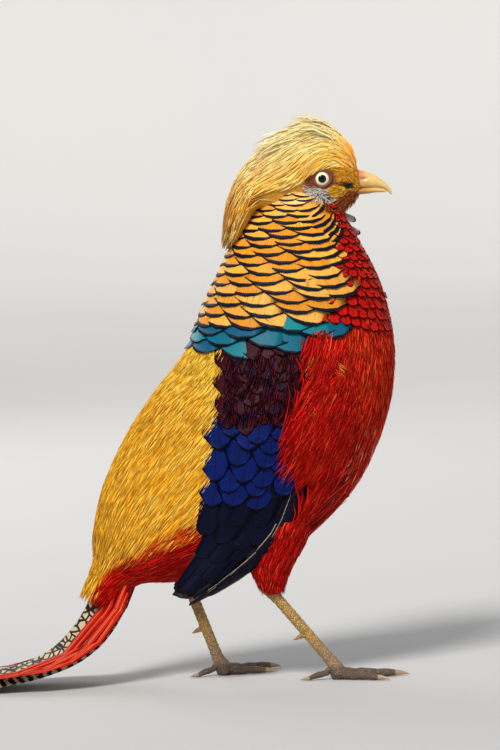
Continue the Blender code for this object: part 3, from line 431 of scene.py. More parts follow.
def spot(x, z, middle, half, soft=0.4):
    """1 inside an oval on the side of the head, and 0 outside its soft edge."""
    away = np.hypot((x - middle[0]) / half[0], (z - middle[1]) / half[1])
    return 1 - smooth_step(away, 1 - soft / 2, 1 + soft / 2)


def face_colours(place):
    """The colours of the head's skin and small feathers, at places from the bird's origin."""
    x, y, z = place[..., 0], np.abs(place[..., 1]), place[..., 2]
    colour = np.broadcast_to(np.array(GOLD), place.shape).copy()
    colour = mixed(colour, FOREHEAD, smooth_step(x, 0.056, 0.064) * smooth_step(z, 0.341, 0.346))
    colour = mixed(colour, CREAM, spot(x, z, (0.0325, 0.3420), (0.0065, 0.0060)))
    colour = mixed(colour, RUST, spot(x, z, (0.0425, 0.3470), (0.0052, 0.0070)))
    colour = mixed(colour, ASH, spot(x, z - 0.15 * (0.05 - x), (0.0490, 0.3355), (0.0125, 0.0064)))
    under_bill = smooth_step(x - 0.5 * (z - 0.330), 0.0545, 0.0585) * smooth_step(0.3400 - z, 0, 0.003)
    colour = mixed(colour, RUST, np.maximum(under_bill, smooth_step(0.3300 - z, 0, 0.003)))
    side = y > 0.004
    colour = mixed(colour, LAPPET, spot(x, z, (0.0592, 0.3386), (0.0062, 0.0046)) * side)
    colour = mixed(colour, RUST, spot(x, z, (0.0640, 0.3440), (0.0075, 0.0017)) * side)
    colour = mixed(colour, SOOT, spot(x, z, (0.0685, 0.3425), (0.0034, 0.0026)) * side)
    return mixed(colour, BARE_SKIN, spot(x, z, EYE[[0, 2]], (0.0088, 0.0070), 0.2) * side)


def store_colours(mesh, colours):
    """Gives each vertex its colour, as the attribute that the plumage's materials read."""
    layer = mesh.color_attributes.new("Plumage", "FLOAT_COLOR", "POINT")
    full = np.ones((len(mesh.vertices), 4), np.float32)
    full[:, :3] = colours
    layer.data.foreach_set("color", full.ravel())


skin_material, skin_tree, skin_shader = start_material("skin_and_down", Roughness=0.62)
skin_colour = add_node(skin_tree, "Attribute", {"attribute_name": "Plumage"}).outputs["Color"]
down = object_noise(skin_tree, 900.0)
skin_shade = mix_colours(skin_tree, down, (0.5, 0.5, 0.5, 1), (0.24, 0.24, 0.24, 1))
paint(skin_tree, skin_shader, mix_colours(skin_tree, 1.0, skin_colour, skin_shade, "MULTIPLY"))
roughen(skin_tree, skin_shader, down, 0.0004)

skin_work = bmesh.new()
loft(skin_work, lofted_rings(body_skin, np.linspace(0.35, 13, 54), 72))
loft(skin_work, lofted_rings(face_skin, np.linspace(0, 7, 30), 56))
for leg in LEGS.values():
    loft(skin_work, lofted_rings(thigh_skin(leg), np.linspace(0.1, 4, 14), 32))
wing_grid = np.meshgrid(np.linspace(0.89, 0.03, 40), np.linspace(-0.94, 0.94, 24), indexing="ij")
for side, _ in SIDES:
    closed_plate(skin_work, wing_skin(side)(*wing_grid), wing_skin(side, -WING_COAT - WING_CORE)(*wing_grid))
skin = to_object(skin_work, "skin", skin_material)
remesh = skin.modifiers.new("one_skin", "REMESH")
remesh.mode = "VOXEL"
remesh.voxel_size = SKIN_GRAIN
remesh.use_smooth_shade = True
relax = skin.modifiers.new("relax", "SMOOTH")
relax.factor = 0.5
relax.iterations = 3


def apply_modifiers(obj):
    """Replaces an object's mesh by the one that its modifiers make."""
    graph = bpy.context.evaluated_depsgraph_get()
    made = bpy.data.meshes.new_from_object(obj.evaluated_get(graph))
    old = obj.data
    obj.modifiers.clear()
    obj.data = made
    bpy.data.meshes.remove(old)
    made.shade_smooth()


def places_of(mesh):
    flat = np.empty(len(mesh.vertices) * 3)
    mesh.vertices.foreach_get("co", flat)
    return flat.reshape(-1, 3)


def wing_edges(z):
    """The rear and front edge of the folded wing at a height, from the bird's origin."""
    rows = np.array(WING)[::-1]
    return (np.interp(z, rows[:, 1 + 2 * k], rows[:, 2 * k]) for k in (0, 1))


apply_modifiers(skin)
skin_places = places_of(skin.data) - BIRD
near_grid = np.meshgrid(np.linspace(0.4, 13, 190), np.linspace(-math.pi, math.pi, 97))
near_t, near_phi = (table.ravel() for table in near_grid)
nearest = KDTree(len(near_t))
for i, place in enumerate(body_skin(near_t, near_phi) - BIRD):
    nearest.insert(place, i)
nearest.balance()
found = np.array([nearest.find(place)[1] for place in skin_places])
skin_colours = body_colours(near_t[found], near_phi[found])
skin_x, skin_y, skin_z = skin_places.T
on_head = (skin_z > 0.318) & (skin_x > 0.018 + 0.35 * (0.345 - skin_z))
skin_colours[on_head] = face_colours(skin_places[on_head])
rear_x, front_x = wing_edges(skin_z)
beyond = np.abs(skin_y) - side_of_body(skin_x + BIRD[0], skin_z)
on_wing = (skin_x > rear_x - 0.001) & (skin_x < front_x - 0.004) & (beyond > -0.003)
on_wing &= (skin_z > 0.056) & (skin_z < 0.228) & (np.abs(skin_y) > 0.02)
skin_colours[on_wing] = mixed(NAVY, MAROON, smooth_step(skin_z[on_wing], 0.15, 0.19))
store_colours(skin.data, skin_colours)
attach(skin, "root")
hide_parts("torso", "rump", "head", "thigh_left", "thigh_right", "cape", "mantle")


# The horn-yellow bill: a hooked upper mandible over a shorter lower one, with pinkish skin at the root,
# and a nostril under a raised lid of horn on each side. Both mandibles are lofted.
UPPER_BILL = [  # columns as in TRUNK, from the root to the tip
    (0.0735, 0.3545, 0.0735, 0.3402, 0.0058),
    (0.0755, 0.3535, 0.0755, 0.3402, 0.0052),
    (0.0830, 0.3512, 0.0830, 0.3403, 0.0044),
    (0.0895, 0.3480, 0.0895, 0.3400, 0.0036),
    (0.0950, 0.3436, 0.0945, 0.3388, 0.0026),
    (0.0985, 0.3392, 0.0975, 0.3362, 0.0014),
    (0.0998, 0.3358, 0.0990, 0.3348, 0.0005),
]
LOWER_BILL = [  # the same
    (0.0700, 0.3402, 0.0700, 0.3340, 0.0056),
    (0.0755, 0.3404, 0.0755, 0.3356, 0.0046),
    (0.0830, 0.3405, 0.0830, 0.3361, 0.0038),
    (0.0895, 0.3402, 0.0890, 0.3367, 0.0029),
    (0.0960, 0.3382, 0.0955, 0.3366, 0.0012),
]
NOSTRIL = np.array([0.0800, 0.0044, 0.3468])
NOSTRIL_HALF = np.array([0.0024, 0.0012, 0.0010])
NOSTRIL_DEPTH = 0.0016
LID_RISE, LID_SWELL = 0.0019, 0.0004  # of the horn over the nostril: how far above it, how far out
BROWN_HORN, YELLOW_HORN = (0.58, 0.34, 0.07, 1), (0.86, 0.64, 0.27, 1)
GAPE_BROWN, ROOT_PINK = (0.46, 0.17, 0.03, 1), (0.62, 0.12, 0.075, 1)
horn, horn_tree, horn_shader = start_material(
    "bill_horn", Roughness=0.34, Coat_Weight=0.25, Coat_Roughness=0.2
)
horn_x, _, horn_z = add_node(horn_tree, "SeparateXYZ", i0=object_place(horn_tree)).outputs
at_root = step_up(horn_tree, horn_x, BIRD[0] + 0.0840, BIRD[0] + 0.0755)
on_ridge = step_up(horn_tree, horn_z, 0.3405, 0.3490)
towards_gape = step_up(horn_tree, horn_x, BIRD[0] + 0.0930, BIRD[0] + 0.0770)
below_gape = step_up(horn_tree, horn_z, 0.3425, 0.3395)
growth = object_noise(horn_tree, 420.0, 4.0)
horn_colour = mix_colours(horn_tree, growth, BROWN_HORN, YELLOW_HORN)
under = maths(horn_tree, "MULTIPLY", towards_gape, below_gape)
horn_colour = mix_colours(horn_tree, under, horn_colour, GAPE_BROWN)
root_skin = maths(horn_tree, "MULTIPLY", at_root, on_ridge)
horn_colour = mix_colours(horn_tree, root_skin, horn_colour, ROOT_PINK)
paint(horn_tree, horn_shader, horn_colour)
roughen(horn_tree, horn_shader, growth, 0.00015)


def dented(places, centre, half, depth):
    """Moves places near a spot towards the middle plane, by up to depth."""
    far = np.linalg.norm((places - centre) / half, axis=1)
    places[:, 1] -= np.sign(places[:, 1]) * depth * smooth_step(1.4 - far, 0, 0.8)


for bill_name, bill_rows in (("bill_upper", UPPER_BILL), ("bill_lower", LOWER_BILL)):
    bill_work = bmesh.new()
    bill_stations = np.linspace(0, len(bill_rows) - 1, 48)
    loft(bill_work, lofted_rings(lambda t, phi: ring_point(bill_rows, t, phi), bill_stations, 40))
    bill = to_object(bill_work, bill_name + "_horn", horn)
    bill_places = places_of(bill.data) - BIRD
    if bill_name == "bill_upper":
        for side, _ in SIDES:
            nostril = NOSTRIL * (1, side, 1)
            dented(bill_places, nostril + (0, 0, LID_RISE), NOSTRIL_HALF * (1.2, 2, 0.8), -LID_SWELL)
            dented(bill_places, nostril, NOSTRIL_HALF * (1, 2, 1), NOSTRIL_DEPTH)
    bill.data.vertices.foreach_set("co", (bill_places + BIRD).ravel())
    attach(bill, "root")
    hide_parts(bill_name)


# The eyes: a pale yellow-white iris round a black pupil, wet and shining, in a rim of reddish bare skin.
# Each is a ball with its pole outwards, and the lids are a spun ring drawn to a corner at each end.
EYE_RADIUS, PUPIL_RADIUS = 0.0066, 0.0028
LID_RING = 0.0056  # radius of the opening
LID_THICK, LID_WIDE = 0.0007, 0.0012  # half sizes of its section
LID_OUT = 0.0162  # from the head's middle plane
LID_CORNER, CORNER_SINK = 0.16, 0.0008  # how far each end is drawn out, as a share, and sunk
DULL_IRIS, BRIGHT_IRIS = (0.62, 0.66, 0.38, 1), (0.90, 0.92, 0.68, 1)
IRIS_RIM, PUPIL_BLACK = (0.16, 0.09, 0.03, 1), (0.002, 0.003, 0.006, 1)
LID_DARK, LID_RED = (0.10, 0.010, 0.007, 1), (0.36, 0.050, 0.026, 1)
iris, iris_tree, iris_shader = start_material(
    "pale_eye", Roughness=0.3, Specular_IOR_Level=0.1, Coat_Weight=0.45, Coat_Roughness=0.02
)
eye_axis = (BIRD[0] + EYE[0], 0, EYE[2])
eye_spot = add_node(
    iris_tree, "VectorMath", {"operation": "SUBTRACT"}, i0=object_place(iris_tree), i1=eye_axis
).outputs[0]
eye_flat = add_node(iris_tree, "VectorMath", {"operation": "MULTIPLY"}, i0=eye_spot, i1=(1, 0, 1)).outputs[0]
eye_reach = add_node(iris_tree, "VectorMath", {"operation": "LENGTH"}, i0=eye_flat).outputs["Value"]
iris_colour = mix_colours(iris_tree, noise(iris_tree, eye_spot, 1400.0), DULL_IRIS, BRIGHT_IRIS)
at_rim = step_up(iris_tree, eye_reach, 0.0043, 0.0051)
iris_colour = mix_colours(iris_tree, at_rim, iris_colour, IRIS_RIM)
in_pupil = step_up(iris_tree, eye_reach, PUPIL_RADIUS + 0.0002, PUPIL_RADIUS - 0.0001)
iris_colour = mix_colours(iris_tree, in_pupil, iris_colour, PUPIL_BLACK)
paint(iris_tree, iris_shader, iris_colour)

lid_material, lid_tree, lid_shader = start_material("bare_red_skin", Roughness=0.5, Subsurface_Weight=0.1)
folds = object_noise(lid_tree, 1500.0)
paint(lid_tree, lid_shader, mix_colours(lid_tree, folds, LID_DARK, LID_RED))
roughen(lid_tree, lid_shader, folds, 0.0004)

for side, word in SIDES:
    eye_work = bmesh.new()
    bmesh.ops.create_uvsphere(eye_work, u_segments=48, v_segments=32, radius=EYE_RADIUS)
    bmesh.ops.rotate(eye_work, verts=eye_work.verts, matrix=Matrix.Rotation(math.pi / 2, 3, "X"))
    bmesh.ops.translate(eye_work, verts=eye_work.verts, vec=BIRD + EYE * (1, side, 1))
    eye = to_object(eye_work, "eyeball_" + word, iris)
    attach(eye, "root")
    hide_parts("eye_" + word)

    lid_work = bmesh.new()
    bmesh.ops.create_circle(lid_work, segments=16, radius=1)
    bmesh.ops.scale(lid_work, verts=lid_work.verts, vec=(LID_THICK, LID_WIDE, 1))
    bmesh.ops.translate(lid_work, verts=lid_work.verts, vec=(LID_RING, 0, 0))
    bmesh.ops.spin(lid_work, geom=lid_work.verts[:] + lid_work.edges[:], axis=(0, 1, 0), cent=(0, 0, 0),
                   steps=56, angle=2 * math.pi, use_merge=True)
    bmesh.ops.remove_doubles(lid_work, verts=lid_work.verts, dist=1e-6)
    for vert in lid_work.verts:
        corner = smooth_step(abs(vert.co.x) / LID_RING, 0.75, 1.15)
        vert.co.x *= 1 + LID_CORNER * corner
        vert.co.y = side * vert.co.y - side * CORNER_SINK * corner
    lid_place = BIRD + np.array([EYE[0], side * LID_OUT, EYE[2]])
    bmesh.ops.translate(lid_work, verts=lid_work.verts, vec=lid_place)
    lids = to_object(lid_work, "lids_" + word, lid_material)
    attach(lids, "root")


# The legs: yellow-brown shanks with overlapping scutes down the front and a short spur behind, and three
# toes ahead and one behind, scuted above and padded below, with worn horn claws. Each part is a lofted
# tube whose radius steps at every scute.
SHANK_RADIUS = 0.0037
SHANK = (  # share of the way down it, radius
    (0, 0.06, 0.2, 0.85, 1.0),
    (0.0050, 0.0050, SHANK_RADIUS, SHANK_RADIUS, SHANK_RADIUS * 1.12),
)
SHANK_TOP = 0.0042  # radius inside the thigh
SHANK_SCUTES = 15
SPUR_WAY, SPUR_LENGTH, SPUR_RADIUS, SPUR_PLACE = Vector((-0.906, 0, -0.423)), 0.0105, 0.0026, 0.62
BALL = (  # ball of the foot: how far ahead of the ankle, height, radius
    (-0.001, 0.0130, 0.0040),
    (0.0, 0.0115, 0.0044),
    (0.002, 0.0085, 0.0050),
    (0.003, 0.0055, 0.0056),
    (0.004, 0.0025, 0.0056),
    (0.005, 0.0008, 0.0048),
)
TOES = (  # name, degrees from the foot's line, length, radius
    ("inner", -34, 0.033, 0.0033),
    ("middle", 0, 0.043, 0.0037),
    ("outer", 33, 0.035, 0.0033),
    ("hind", 176, 0.017, 0.0026),
)
TOE_JOINTS = {"inner": 2, "middle": 3, "outer": 4, "hind": 1}
TOE_ARCH = (0, 0.30, 0.48, 0.66, 0.84, 1.0), (1.9, 1.0, 0.86, 0.96, 0.82, 0.72)  # share, height in radii
CLAW_LENGTH = {"inner": 0.009, "middle": 0.010, "outer": 0.009, "hind": 0.007}
HIND_LIFT, SCUTE_LENGTH = 0.0035, 0.0019
SOLE = 0.0002  # height of the lowest skin over the floor
OCHRE_SCALE, PALE_SCALE = (0.42, 0.22, 0.035, 1), (0.60, 0.38, 0.11, 1)
LOW_SHANK, TOE_DIRT = (0.36, 0.23, 0.12, 1), (0.11, 0.075, 0.048, 1)
CREASE_SHADE, BLOTCH_BROWN = (0.06, 0.035, 0.02, 1), (0.20, 0.12, 0.06, 1)
CLAW_DARK, CLAW_PALE = (0.16, 0.10, 0.06, 1), (0.50, 0.36, 0.22, 1)

scaly, scaly_tree, scaly_shader = start_material("leg_scales", Roughness=0.5)
scale_place = object_place(scaly_tree)
cells = add_node(scaly_tree, "TexVoronoi", Vector=scale_place, Scale=620.0)
creases = add_node(scaly_tree, "TexVoronoi", {"feature": "DISTANCE_TO_EDGE"}, Vector=scale_place, Scale=620.0)
# Painted shade: the scales are darkened towards their edges, into the creases between them.
crease_shade = step_up(scaly_tree, creases.outputs["Distance"], 0.16, 0.0)
height_on_leg = add_node(scaly_tree, "SeparateXYZ", i0=scale_place).outputs[2]
blotch = step_up(scaly_tree, object_noise(scaly_tree, 130.0), 0.52, 0.72)
leg_colour = mix_colours(scaly_tree, cells.outputs["Color"], OCHRE_SCALE, PALE_SCALE)
for mask, colour in (
    (step_up(scaly_tree, height_on_leg, 0.034, 0.014), LOW_SHANK),
    (step_up(scaly_tree, height_on_leg, 0.012, 0.006), TOE_DIRT),
    (maths(scaly_tree, "MULTIPLY", crease_shade, 0.80), CREASE_SHADE),
    (maths(scaly_tree, "MULTIPLY", blotch, 0.35), BLOTCH_BROWN),
):
    leg_colour = mix_colours(scaly_tree, mask, leg_colour, colour)
paint(scaly_tree, scaly_shader, leg_colour)
roughen(scaly_tree, scaly_shader, creases.outputs["Distance"], 0.0012)

claw_horn, claw_tree, claw_shader = start_material("claw_horn", Roughness=0.38)
claw_grain = object_noise(claw_tree, 700.0)
paint(claw_tree, claw_shader, mix_colours(claw_tree, claw_grain, CLAW_DARK, CLAW_PALE))
roughen(claw_tree, claw_shader, claw_grain, 0.0002)


def tube_rings(centres, radii, sides=24, flatten=1.0, floor_z=None):
    """Rings round a line of centres. Where floor_z is given, nothing reaches below it."""
    rings = []
    count = len(centres)
    for i, (centre, radius) in enumerate(zip(centres, radii)):
        run = (centres[min(i + 1, count - 1)] - centres[max(i - 1, 0)]).normalized()
        wide = run.cross(Vector((0, 0, 1))) if abs(run.z) < 0.8 else Vector((0, 1, 0))
        wide = (wide - run * wide.dot(run)).normalized()
        deep = wide.cross(run).normalized()
        ring = [
            centre + wide * (radius * flatten * math.cos(a)) + deep * (radius * math.sin(a))
            for a in np.linspace(0, 2 * math.pi, sides, endpoint=False)
        ]
        if floor_z is not None:
            ring = [Vector((p.x, p.y, max(p.z, floor_z))) for p in ring]
        rings.append(ring)
    return rings


def scuted(length, scute, radius_at, steps=5, ridge=0.00022):
    """Places and radii down a line of overlapping scutes, each thicker at its lower edge."""
    count = max(2, round(length / scute))
    places, radii = [], []
    for i in range(count):
        for k in range(steps):
            share = (i + k / steps) / count
            places.append(share)
            radii.append(radius_at(share) + ridge * (k / (steps - 1)) ** 1.6)
    places.append(1.0)
    radii.append(radius_at(1.0))
    return places, radii


def leg_place(leg, joint):
    """The place of a leg's hock or ankle in the frame."""
    x, y, z = leg[joint]
    return Vector((x + BIRD[0], leg["side"] * y, z))


def toe_line(leg, name, angle, length, radius, share):
    """A place on the middle line of a toe, from the ball of the foot to the claw, and the toe's way."""
    turn = math.radians((leg["yaw"] + angle) * leg["side"])
    way = Vector((math.cos(turn), math.sin(turn), 0))
    lifted = HIND_LIFT if name == "hind" else 0.0
    height = float(np.interp(share, *TOE_ARCH))
    ankle = leg_place(leg, "ankle")
    rise = Vector((0, 0, radius * height + lifted * (1 - share)))
    return Vector((ankle.x, ankle.y, 0)) + way * (length * share) + rise, way


def toe_radius(name, radius):
    """The toe is thick at each joint and slimmer between them, and tapers to the claw."""
    joints = TOE_JOINTS[name]

    def at(share):
        swell = 0.5 + 0.5 * math.cos(2 * math.pi * share * (joints + 0.5))
        return radius * (1.06 - 0.42 * share) * (0.86 + 0.18 * swell)

    return at


for word, leg in LEGS.items():
    hock, ankle = leg_place(leg, "hock"), leg_place(leg, "ankle")
    leg_work = bmesh.new()
    reach = (hock - ankle).length
    shares, radii = scuted(reach, reach / SHANK_SCUTES, lambda s: float(np.interp(s, *SHANK)), 6, 0.0003)
    top = hock.lerp(ankle, -0.06)
    down_leg = [hock.lerp(ankle, s) for s in shares]
    loft(leg_work, tube_rings([top] + down_leg, [SHANK_TOP] + radii, 28, 0.84))
    spur_root = hock.lerp(ankle, SPUR_PLACE)
    spur_line = [spur_root + SPUR_WAY * (SPUR_LENGTH * s) for s in np.linspace(0, 1, 10)]
    spur_radii = [SPUR_RADIUS * (1 - s) ** 0.7 + 0.0002 for s in np.linspace(0, 1, 10)]
    loft(leg_work, tube_rings(spur_line, spur_radii, 16))
    ball_line = [Vector((ankle.x + forward, ankle.y, z)) for forward, z, _ in BALL]
    loft(leg_work, tube_rings(ball_line, [radius for _, _, radius in BALL], 28, floor_z=SOLE))
    for name, angle, length, radius in TOES:
        places, radii = scuted(length, SCUTE_LENGTH, toe_radius(name, radius), 5, 0.00026)
        centres = [toe_line(leg, name, angle, length, radius, share)[0] for share in places]
        loft(leg_work, tube_rings(centres, radii, 24, floor_z=SOLE))
    scaled_leg = to_object(leg_work, "scaled_leg_" + word, scaly)
    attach(scaled_leg, "root")
    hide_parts("shank_" + word, "foot_" + word)

    claw_work = bmesh.new()
    for name, angle, length, radius in TOES:
        tip, way = toe_line(leg, name, angle, length, radius, 1.0)
        reach = CLAW_LENGTH[name]
        drop = 0.85 * (tip.z - 0.0008)
        steps = np.linspace(-0.25, 1.0, 14)
        line = [tip + way * (reach * s) - Vector((0, 0, drop * s * abs(s))) for s in steps]
        thick = [radius * 0.50 * max(0.0, 1 - max(s, 0) ** 1.5) + 0.00018 for s in steps]
        loft(claw_work, tube_rings(line, thick, 16, 0.8))
    claws = to_object(claw_work, "claws_" + word, claw_horn)
    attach(claws, "root")
    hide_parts(*[f"claw_{word}_{name}" for name, *_ in TOES])


# The silky plumes of the back, rump, belly, breast, neck and thighs: loose, hair-like feather ends that lie
# towards the tail, gold above and scarlet below, with a tan and orange fan at each shoulder. Each is a thin
# closed vane laid on the skin. A piece of coat is one mesh built from arrays, because it has thousands.
HAIR = ((-1.0, 0.0), (0.0, 1.0), (1.0, 0.0))  # across, height; the section of a hair-like vane
BLADE = ((-1.0, 0.0), (-0.5, 0.7), (0.0, 1.0), (0.5, 0.7), (1.0, 0.0), (0.5, -0.2), (0.0, -0.2), (-0.5, -0.2))
SILKY = ((0.0, 0.55), (0.35, 1.0), (0.72, 0.75), (1.0, 0.06))  # along, width
PATCH = 0.003  # of a tuft, on the coat's unwrap
CHANCE = np.random.default_rng(4090)


def frame_of(surface, u, v):
    """Outward normal, and metres for each unit of u and of v."""
    step = 1e-3
    here = surface(u, v)
    by_u, by_v = (surface(u + step, v) - here) / step, (surface(u, v + step) - here) / step
    normal = np.cross(by_v, by_u)
    normal /= np.maximum(np.linalg.norm(normal, axis=-1, keepdims=True), 1e-9)
    return normal, np.linalg.norm(by_u, axis=-1), np.linalg.norm(by_v, axis=-1)


def scatter(surface, count, u_range, v_range, wanted):
    """Random places, even over the surface's area, and as dense as wanted says there."""
    u = CHANCE.uniform(*u_range, count * 6)
    v = CHANCE.uniform(*v_range, count * 6)
    _, per_u, per_v = frame_of(surface, u, v)
    weight = per_u * per_v * wanted(u, v)
    chosen = CHANCE.choice(len(u), count, replace=False, p=weight / weight.sum())
    return u[chosen], v[chosen]


def lay_feathers(name, material, surface, u, v, turn, length, width, lifts, colours, shape=SILKY,
                 section=HAIR, thick=0.0003, round_tip=0.0, camber=0.0, bend=0.0, outside=1,
                 unwrap=(0, 1, 0, 1), patch=PATCH):
    """One mesh of feathers with their tips at (u, v), pointing to falling u. turn leads them to rising v.
    lifts are the heights of root and tip over the surface. outside is -1 where the surface's u and v
    run the other way round. unwrap is the range of u and of v on the coat's bake map."""
    count, stations, sides = len(u), len(shape), len(section)

    def spread(values):
        return np.broadcast_to(np.asarray(values, float), (count,))[:, None, None]

    s, wide = np.array(shape).T[:, None, :, None]
    w, h = np.array(section).T[:, None, None, :]
    length, width, turn, bend = (spread(values) for values in (length, width, turn, bend))
    root_lift, tip_lift = (spread(values) for values in lifts)
    sideways = width / 2 * wide * w
    back = (1 - s) * length + round_tip * width * np.abs(w) ** 2.2 * s**3 + 0 * w
    way = turn + bend * (1 - s)
    u0, v0 = spread(u), spread(v)
    _, per_u, _ = frame_of(surface, u0, v0)
    up = u0 + (back * np.cos(way) + sideways * np.sin(way)) / per_u
    _, _, per_v = frame_of(surface, up, v0 + 0 * up)
    beside = v0 + (sideways * np.cos(way) - back * np.sin(way)) / np.maximum(per_v, 0.002)
    normal = outside * frame_of(surface, up, beside)[0]
    height = root_lift + (tip_lift - root_lift) * s
    height = height + thick * h * np.sqrt(wide) - camber * width * w * w * wide
    points = (surface(up, beside) + normal * height[..., None]).reshape(-1, 3)

    ring = np.arange(sides)
    k = np.arange(stations - 1)[:, None]
    quads = np.stack([k * sides + ring, (k + 1) * sides + ring, (k + 1) * sides + (ring + 1) % sides,
                      k * sides + (ring + 1) % sides], axis=-1).reshape(-1, 4)
    per = stations * sides
    starts = np.arange(count)[:, None] * per
    root_cap = ring[None, :] + starts
    tip_cap = (per - sides + ring)[None, ::-1] + starts
    quads = (quads[None] + starts[..., None]).reshape(-1)
    corners = np.concatenate([quads, root_cap.ravel(), tip_cap.ravel()])
    sizes = np.concatenate([np.full(len(quads) // 4, 4), np.full(2 * count, sides)])
    first = points[corners[:4]]
    facing = np.dot(np.cross(first[1] - first[0], first[2] - first[0]), first[0] - points[:per].mean(axis=0))

    mesh = bpy.data.meshes.new(name)
    mesh.vertices.add(len(points))
    mesh.vertices.foreach_set("co", points.ravel())
    mesh.loops.add(len(corners))
    mesh.loops.foreach_set("vertex_index", corners.astype(np.int32))
    mesh.polygons.add(len(sizes))
    mesh.polygons.foreach_set("loop_start", np.concatenate([[0], np.cumsum(sizes)[:-1]]).astype(np.int32))
    mesh.update(calc_edges=True)
    flat_w, flat_s = np.broadcast_to(w, height.shape).ravel(), np.broadcast_to(s, height.shape).ravel()
    across_uv = np.stack([flat_w / 2 + 0.5, flat_s], axis=-1)
    u_share = (np.asarray(u) - unwrap[0]) / (unwrap[1] - unwrap[0])
    v_share = (np.asarray(v) - unwrap[2]) / (unwrap[3] - unwrap[2])
    centre = np.stack([v_share, u_share], axis=-1) * (1 - 2 * patch) + patch
    bake_uv = np.repeat(centre, per, axis=0) + (across_uv - 0.5) * patch
    for layer_name, values in (("Feather", across_uv), ("OFBake", bake_uv)):
        layer = mesh.uv_layers.new(name=layer_name)
        layer.data.foreach_set("uv", values[corners].ravel().astype(np.float32))
    store_colours(mesh, np.repeat(np.broadcast_to(colours, (count, 3)), per, axis=0))
    tone = mesh.attributes.new("Tone", "FLOAT", "POINT")
    tone.data.foreach_set("value", np.repeat(CHANCE.random(count), per).astype(np.float32))
    if facing < 0:
        mesh.flip_normals()
    mesh.materials.append(material)
    mesh.shade_smooth()
    coat = bpy.data.objects.new(name, mesh)
    bpy.context.scene.collection.objects.link(coat)
    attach(coat, "root")
    return coat


# Every feather's material starts from this group: places on the vane, the shaft, its barbs and its own tone.
detail = bpy.data.node_groups.new("Feather Detail", "ShaderNodeTree")
for socket_name, default in (("Barbs", 40.0), ("Shaft Width", 0.08), ("Slant", 3.0)):
    socket = detail.interface.new_socket(socket_name, in_out="INPUT", socket_type="NodeSocketFloat")
    socket.default_value = default
for socket_name in ("Across", "Along", "Barb", "Shaft", "Tone"):
    detail.interface.new_socket(socket_name, in_out="OUTPUT", socket_type="NodeSocketFloat")
given = detail.nodes.new("NodeGroupInput")
handed = detail.nodes.new("NodeGroupOutput")
feather_uv = add_node(detail, "SeparateXYZ", i0=add_node(detail, "UVMap", {"uv_map": "Feather"}).outputs[0])
sided = maths(detail, "SUBTRACT", feather_uv.outputs[0], 0.5)
from_shaft = maths(detail, "MULTIPLY", maths(detail, "ABSOLUTE", sided), 2.0)
random_tone = add_node(detail, "Attribute", {"attribute_name": "Tone"}).outputs["Fac"]
barb_count = maths(detail, "MULTIPLY", feather_uv.outputs[1], given.outputs["Barbs"])
barb_lean = maths(detail, "MULTIPLY", from_shaft, given.outputs["Slant"])
barb_line = maths(detail, "SUBTRACT", barb_count, barb_lean)
barb_place = add_node(detail, "CombineXYZ", i0=barb_line, i1=maths(detail, "MULTIPLY", sided, 1.5),
                      i2=maths(detail, "MULTIPLY", random_tone, 37.0)).outputs[0]
barb = add_node(detail, "TexNoise", Vector=barb_place, Scale=1.0, Detail=2.0).outputs["Fac"]
shaft = step_up(detail, from_shaft, given.outputs["Shaft Width"], 0.0)
for socket_name, value in (("Across", from_shaft), ("Along", feather_uv.outputs[1]), ("Barb", barb),
                           ("Shaft", shaft), ("Tone", random_tone)):
    detail.links.new(value, handed.inputs[socket_name])


def feather_material(name, barbs, shaft_width, slant=3.0, **values):
    """A material that starts from the detail of the feather."""
    material, tree, shader = start_material(name, **values)
    group = add_node(tree, "Group", {"node_tree": detail}, Barbs=barbs, Shaft_Width=shaft_width, Slant=slant)
    return material, tree, shader, group.outputs


def own_colour(tree):
    """The colour that was worked out for each feather."""
    return add_node(tree, "Attribute", {"attribute_name": "Plumage"}).outputs["Color"]


def silky_material(name, pale, pale_share, dark):
    """Hair-like plumes: darker at the root as painted shade where they cover one another, paler down the
    shaft, and each a little different.
    """
    finish = {"Roughness": 0.5, "Specular_IOR_Level": 0.06}
    material, tree, shader, part = feather_material(name, 9.0, 0.45, 1.0, **finish)
    own = own_colour(tree)
    from_tone = maths(tree, "MULTIPLY", part["Tone"], 0.55)
    shade = maths(tree, "ADD", from_tone, maths(tree, "MULTIPLY", part["Barb"], 0.45))
    # Painted shade: each plume is darkened towards its root, where other plumes lie over it.
    root_shade = maths(tree, "MULTIPLY", step_up(tree, part["Along"], 0.72, 0.10), -0.65)
    light = maths(tree, "ADD", step_up(tree, shade, 0.18, 0.62), root_shade, True)
    darker = mix_colours(tree, 1.0, own, (*dark, 1), "MULTIPLY")
    colour = mix_colours(tree, light, darker, own)
    lit = maths(tree, "MULTIPLY", part["Shaft"], step_up(tree, part["Tone"], 1 - pale_share, 1.0))
    paint(tree, shader, mix_colours(tree, lit, colour, (*pale, 1)))
    return material


BODY_UNWRAP = (0, 13, -math.pi, math.pi)
BLUSH, FAN_TAN = (0.85, 0.42, 0.36), (0.98, 0.46, 0.11)
gold_silk = silky_material("gold_silk", (1.0, 0.78, 0.22), 0.5, (0.86, 0.64, 0.42))
scarlet_silk = silky_material("scarlet_silk", (0.90, 0.16, 0.05), 0.2, (0.40, 0.35, 0.35))


def covered_by_wing(t, phi):
    """1 where a folded wing lies over the body."""
    place = body_skin(t, phi) - BIRD
    rear, front = wing_edges(place[..., 2])
    inside = (place[..., 0] > rear + 0.006) & (place[..., 0] < front - 0.012)
    return inside & (place[..., 2] > 0.066) & (place[..., 2] < 0.242) & (np.abs(place[..., 1]) > 0.022)


MANTLE_EDGE = (-0.055, -0.011, 0.010, 0.031, 0.052, 0.075), (0.2315, 0.2250, 0.2270, 0.2310, 0.2360, 0.2400)


def mantle_edge(x):
    """Height of the mantle's lower edge over the neck, from the nape round to the breast."""
    return np.interp(x, *MANTLE_EDGE)


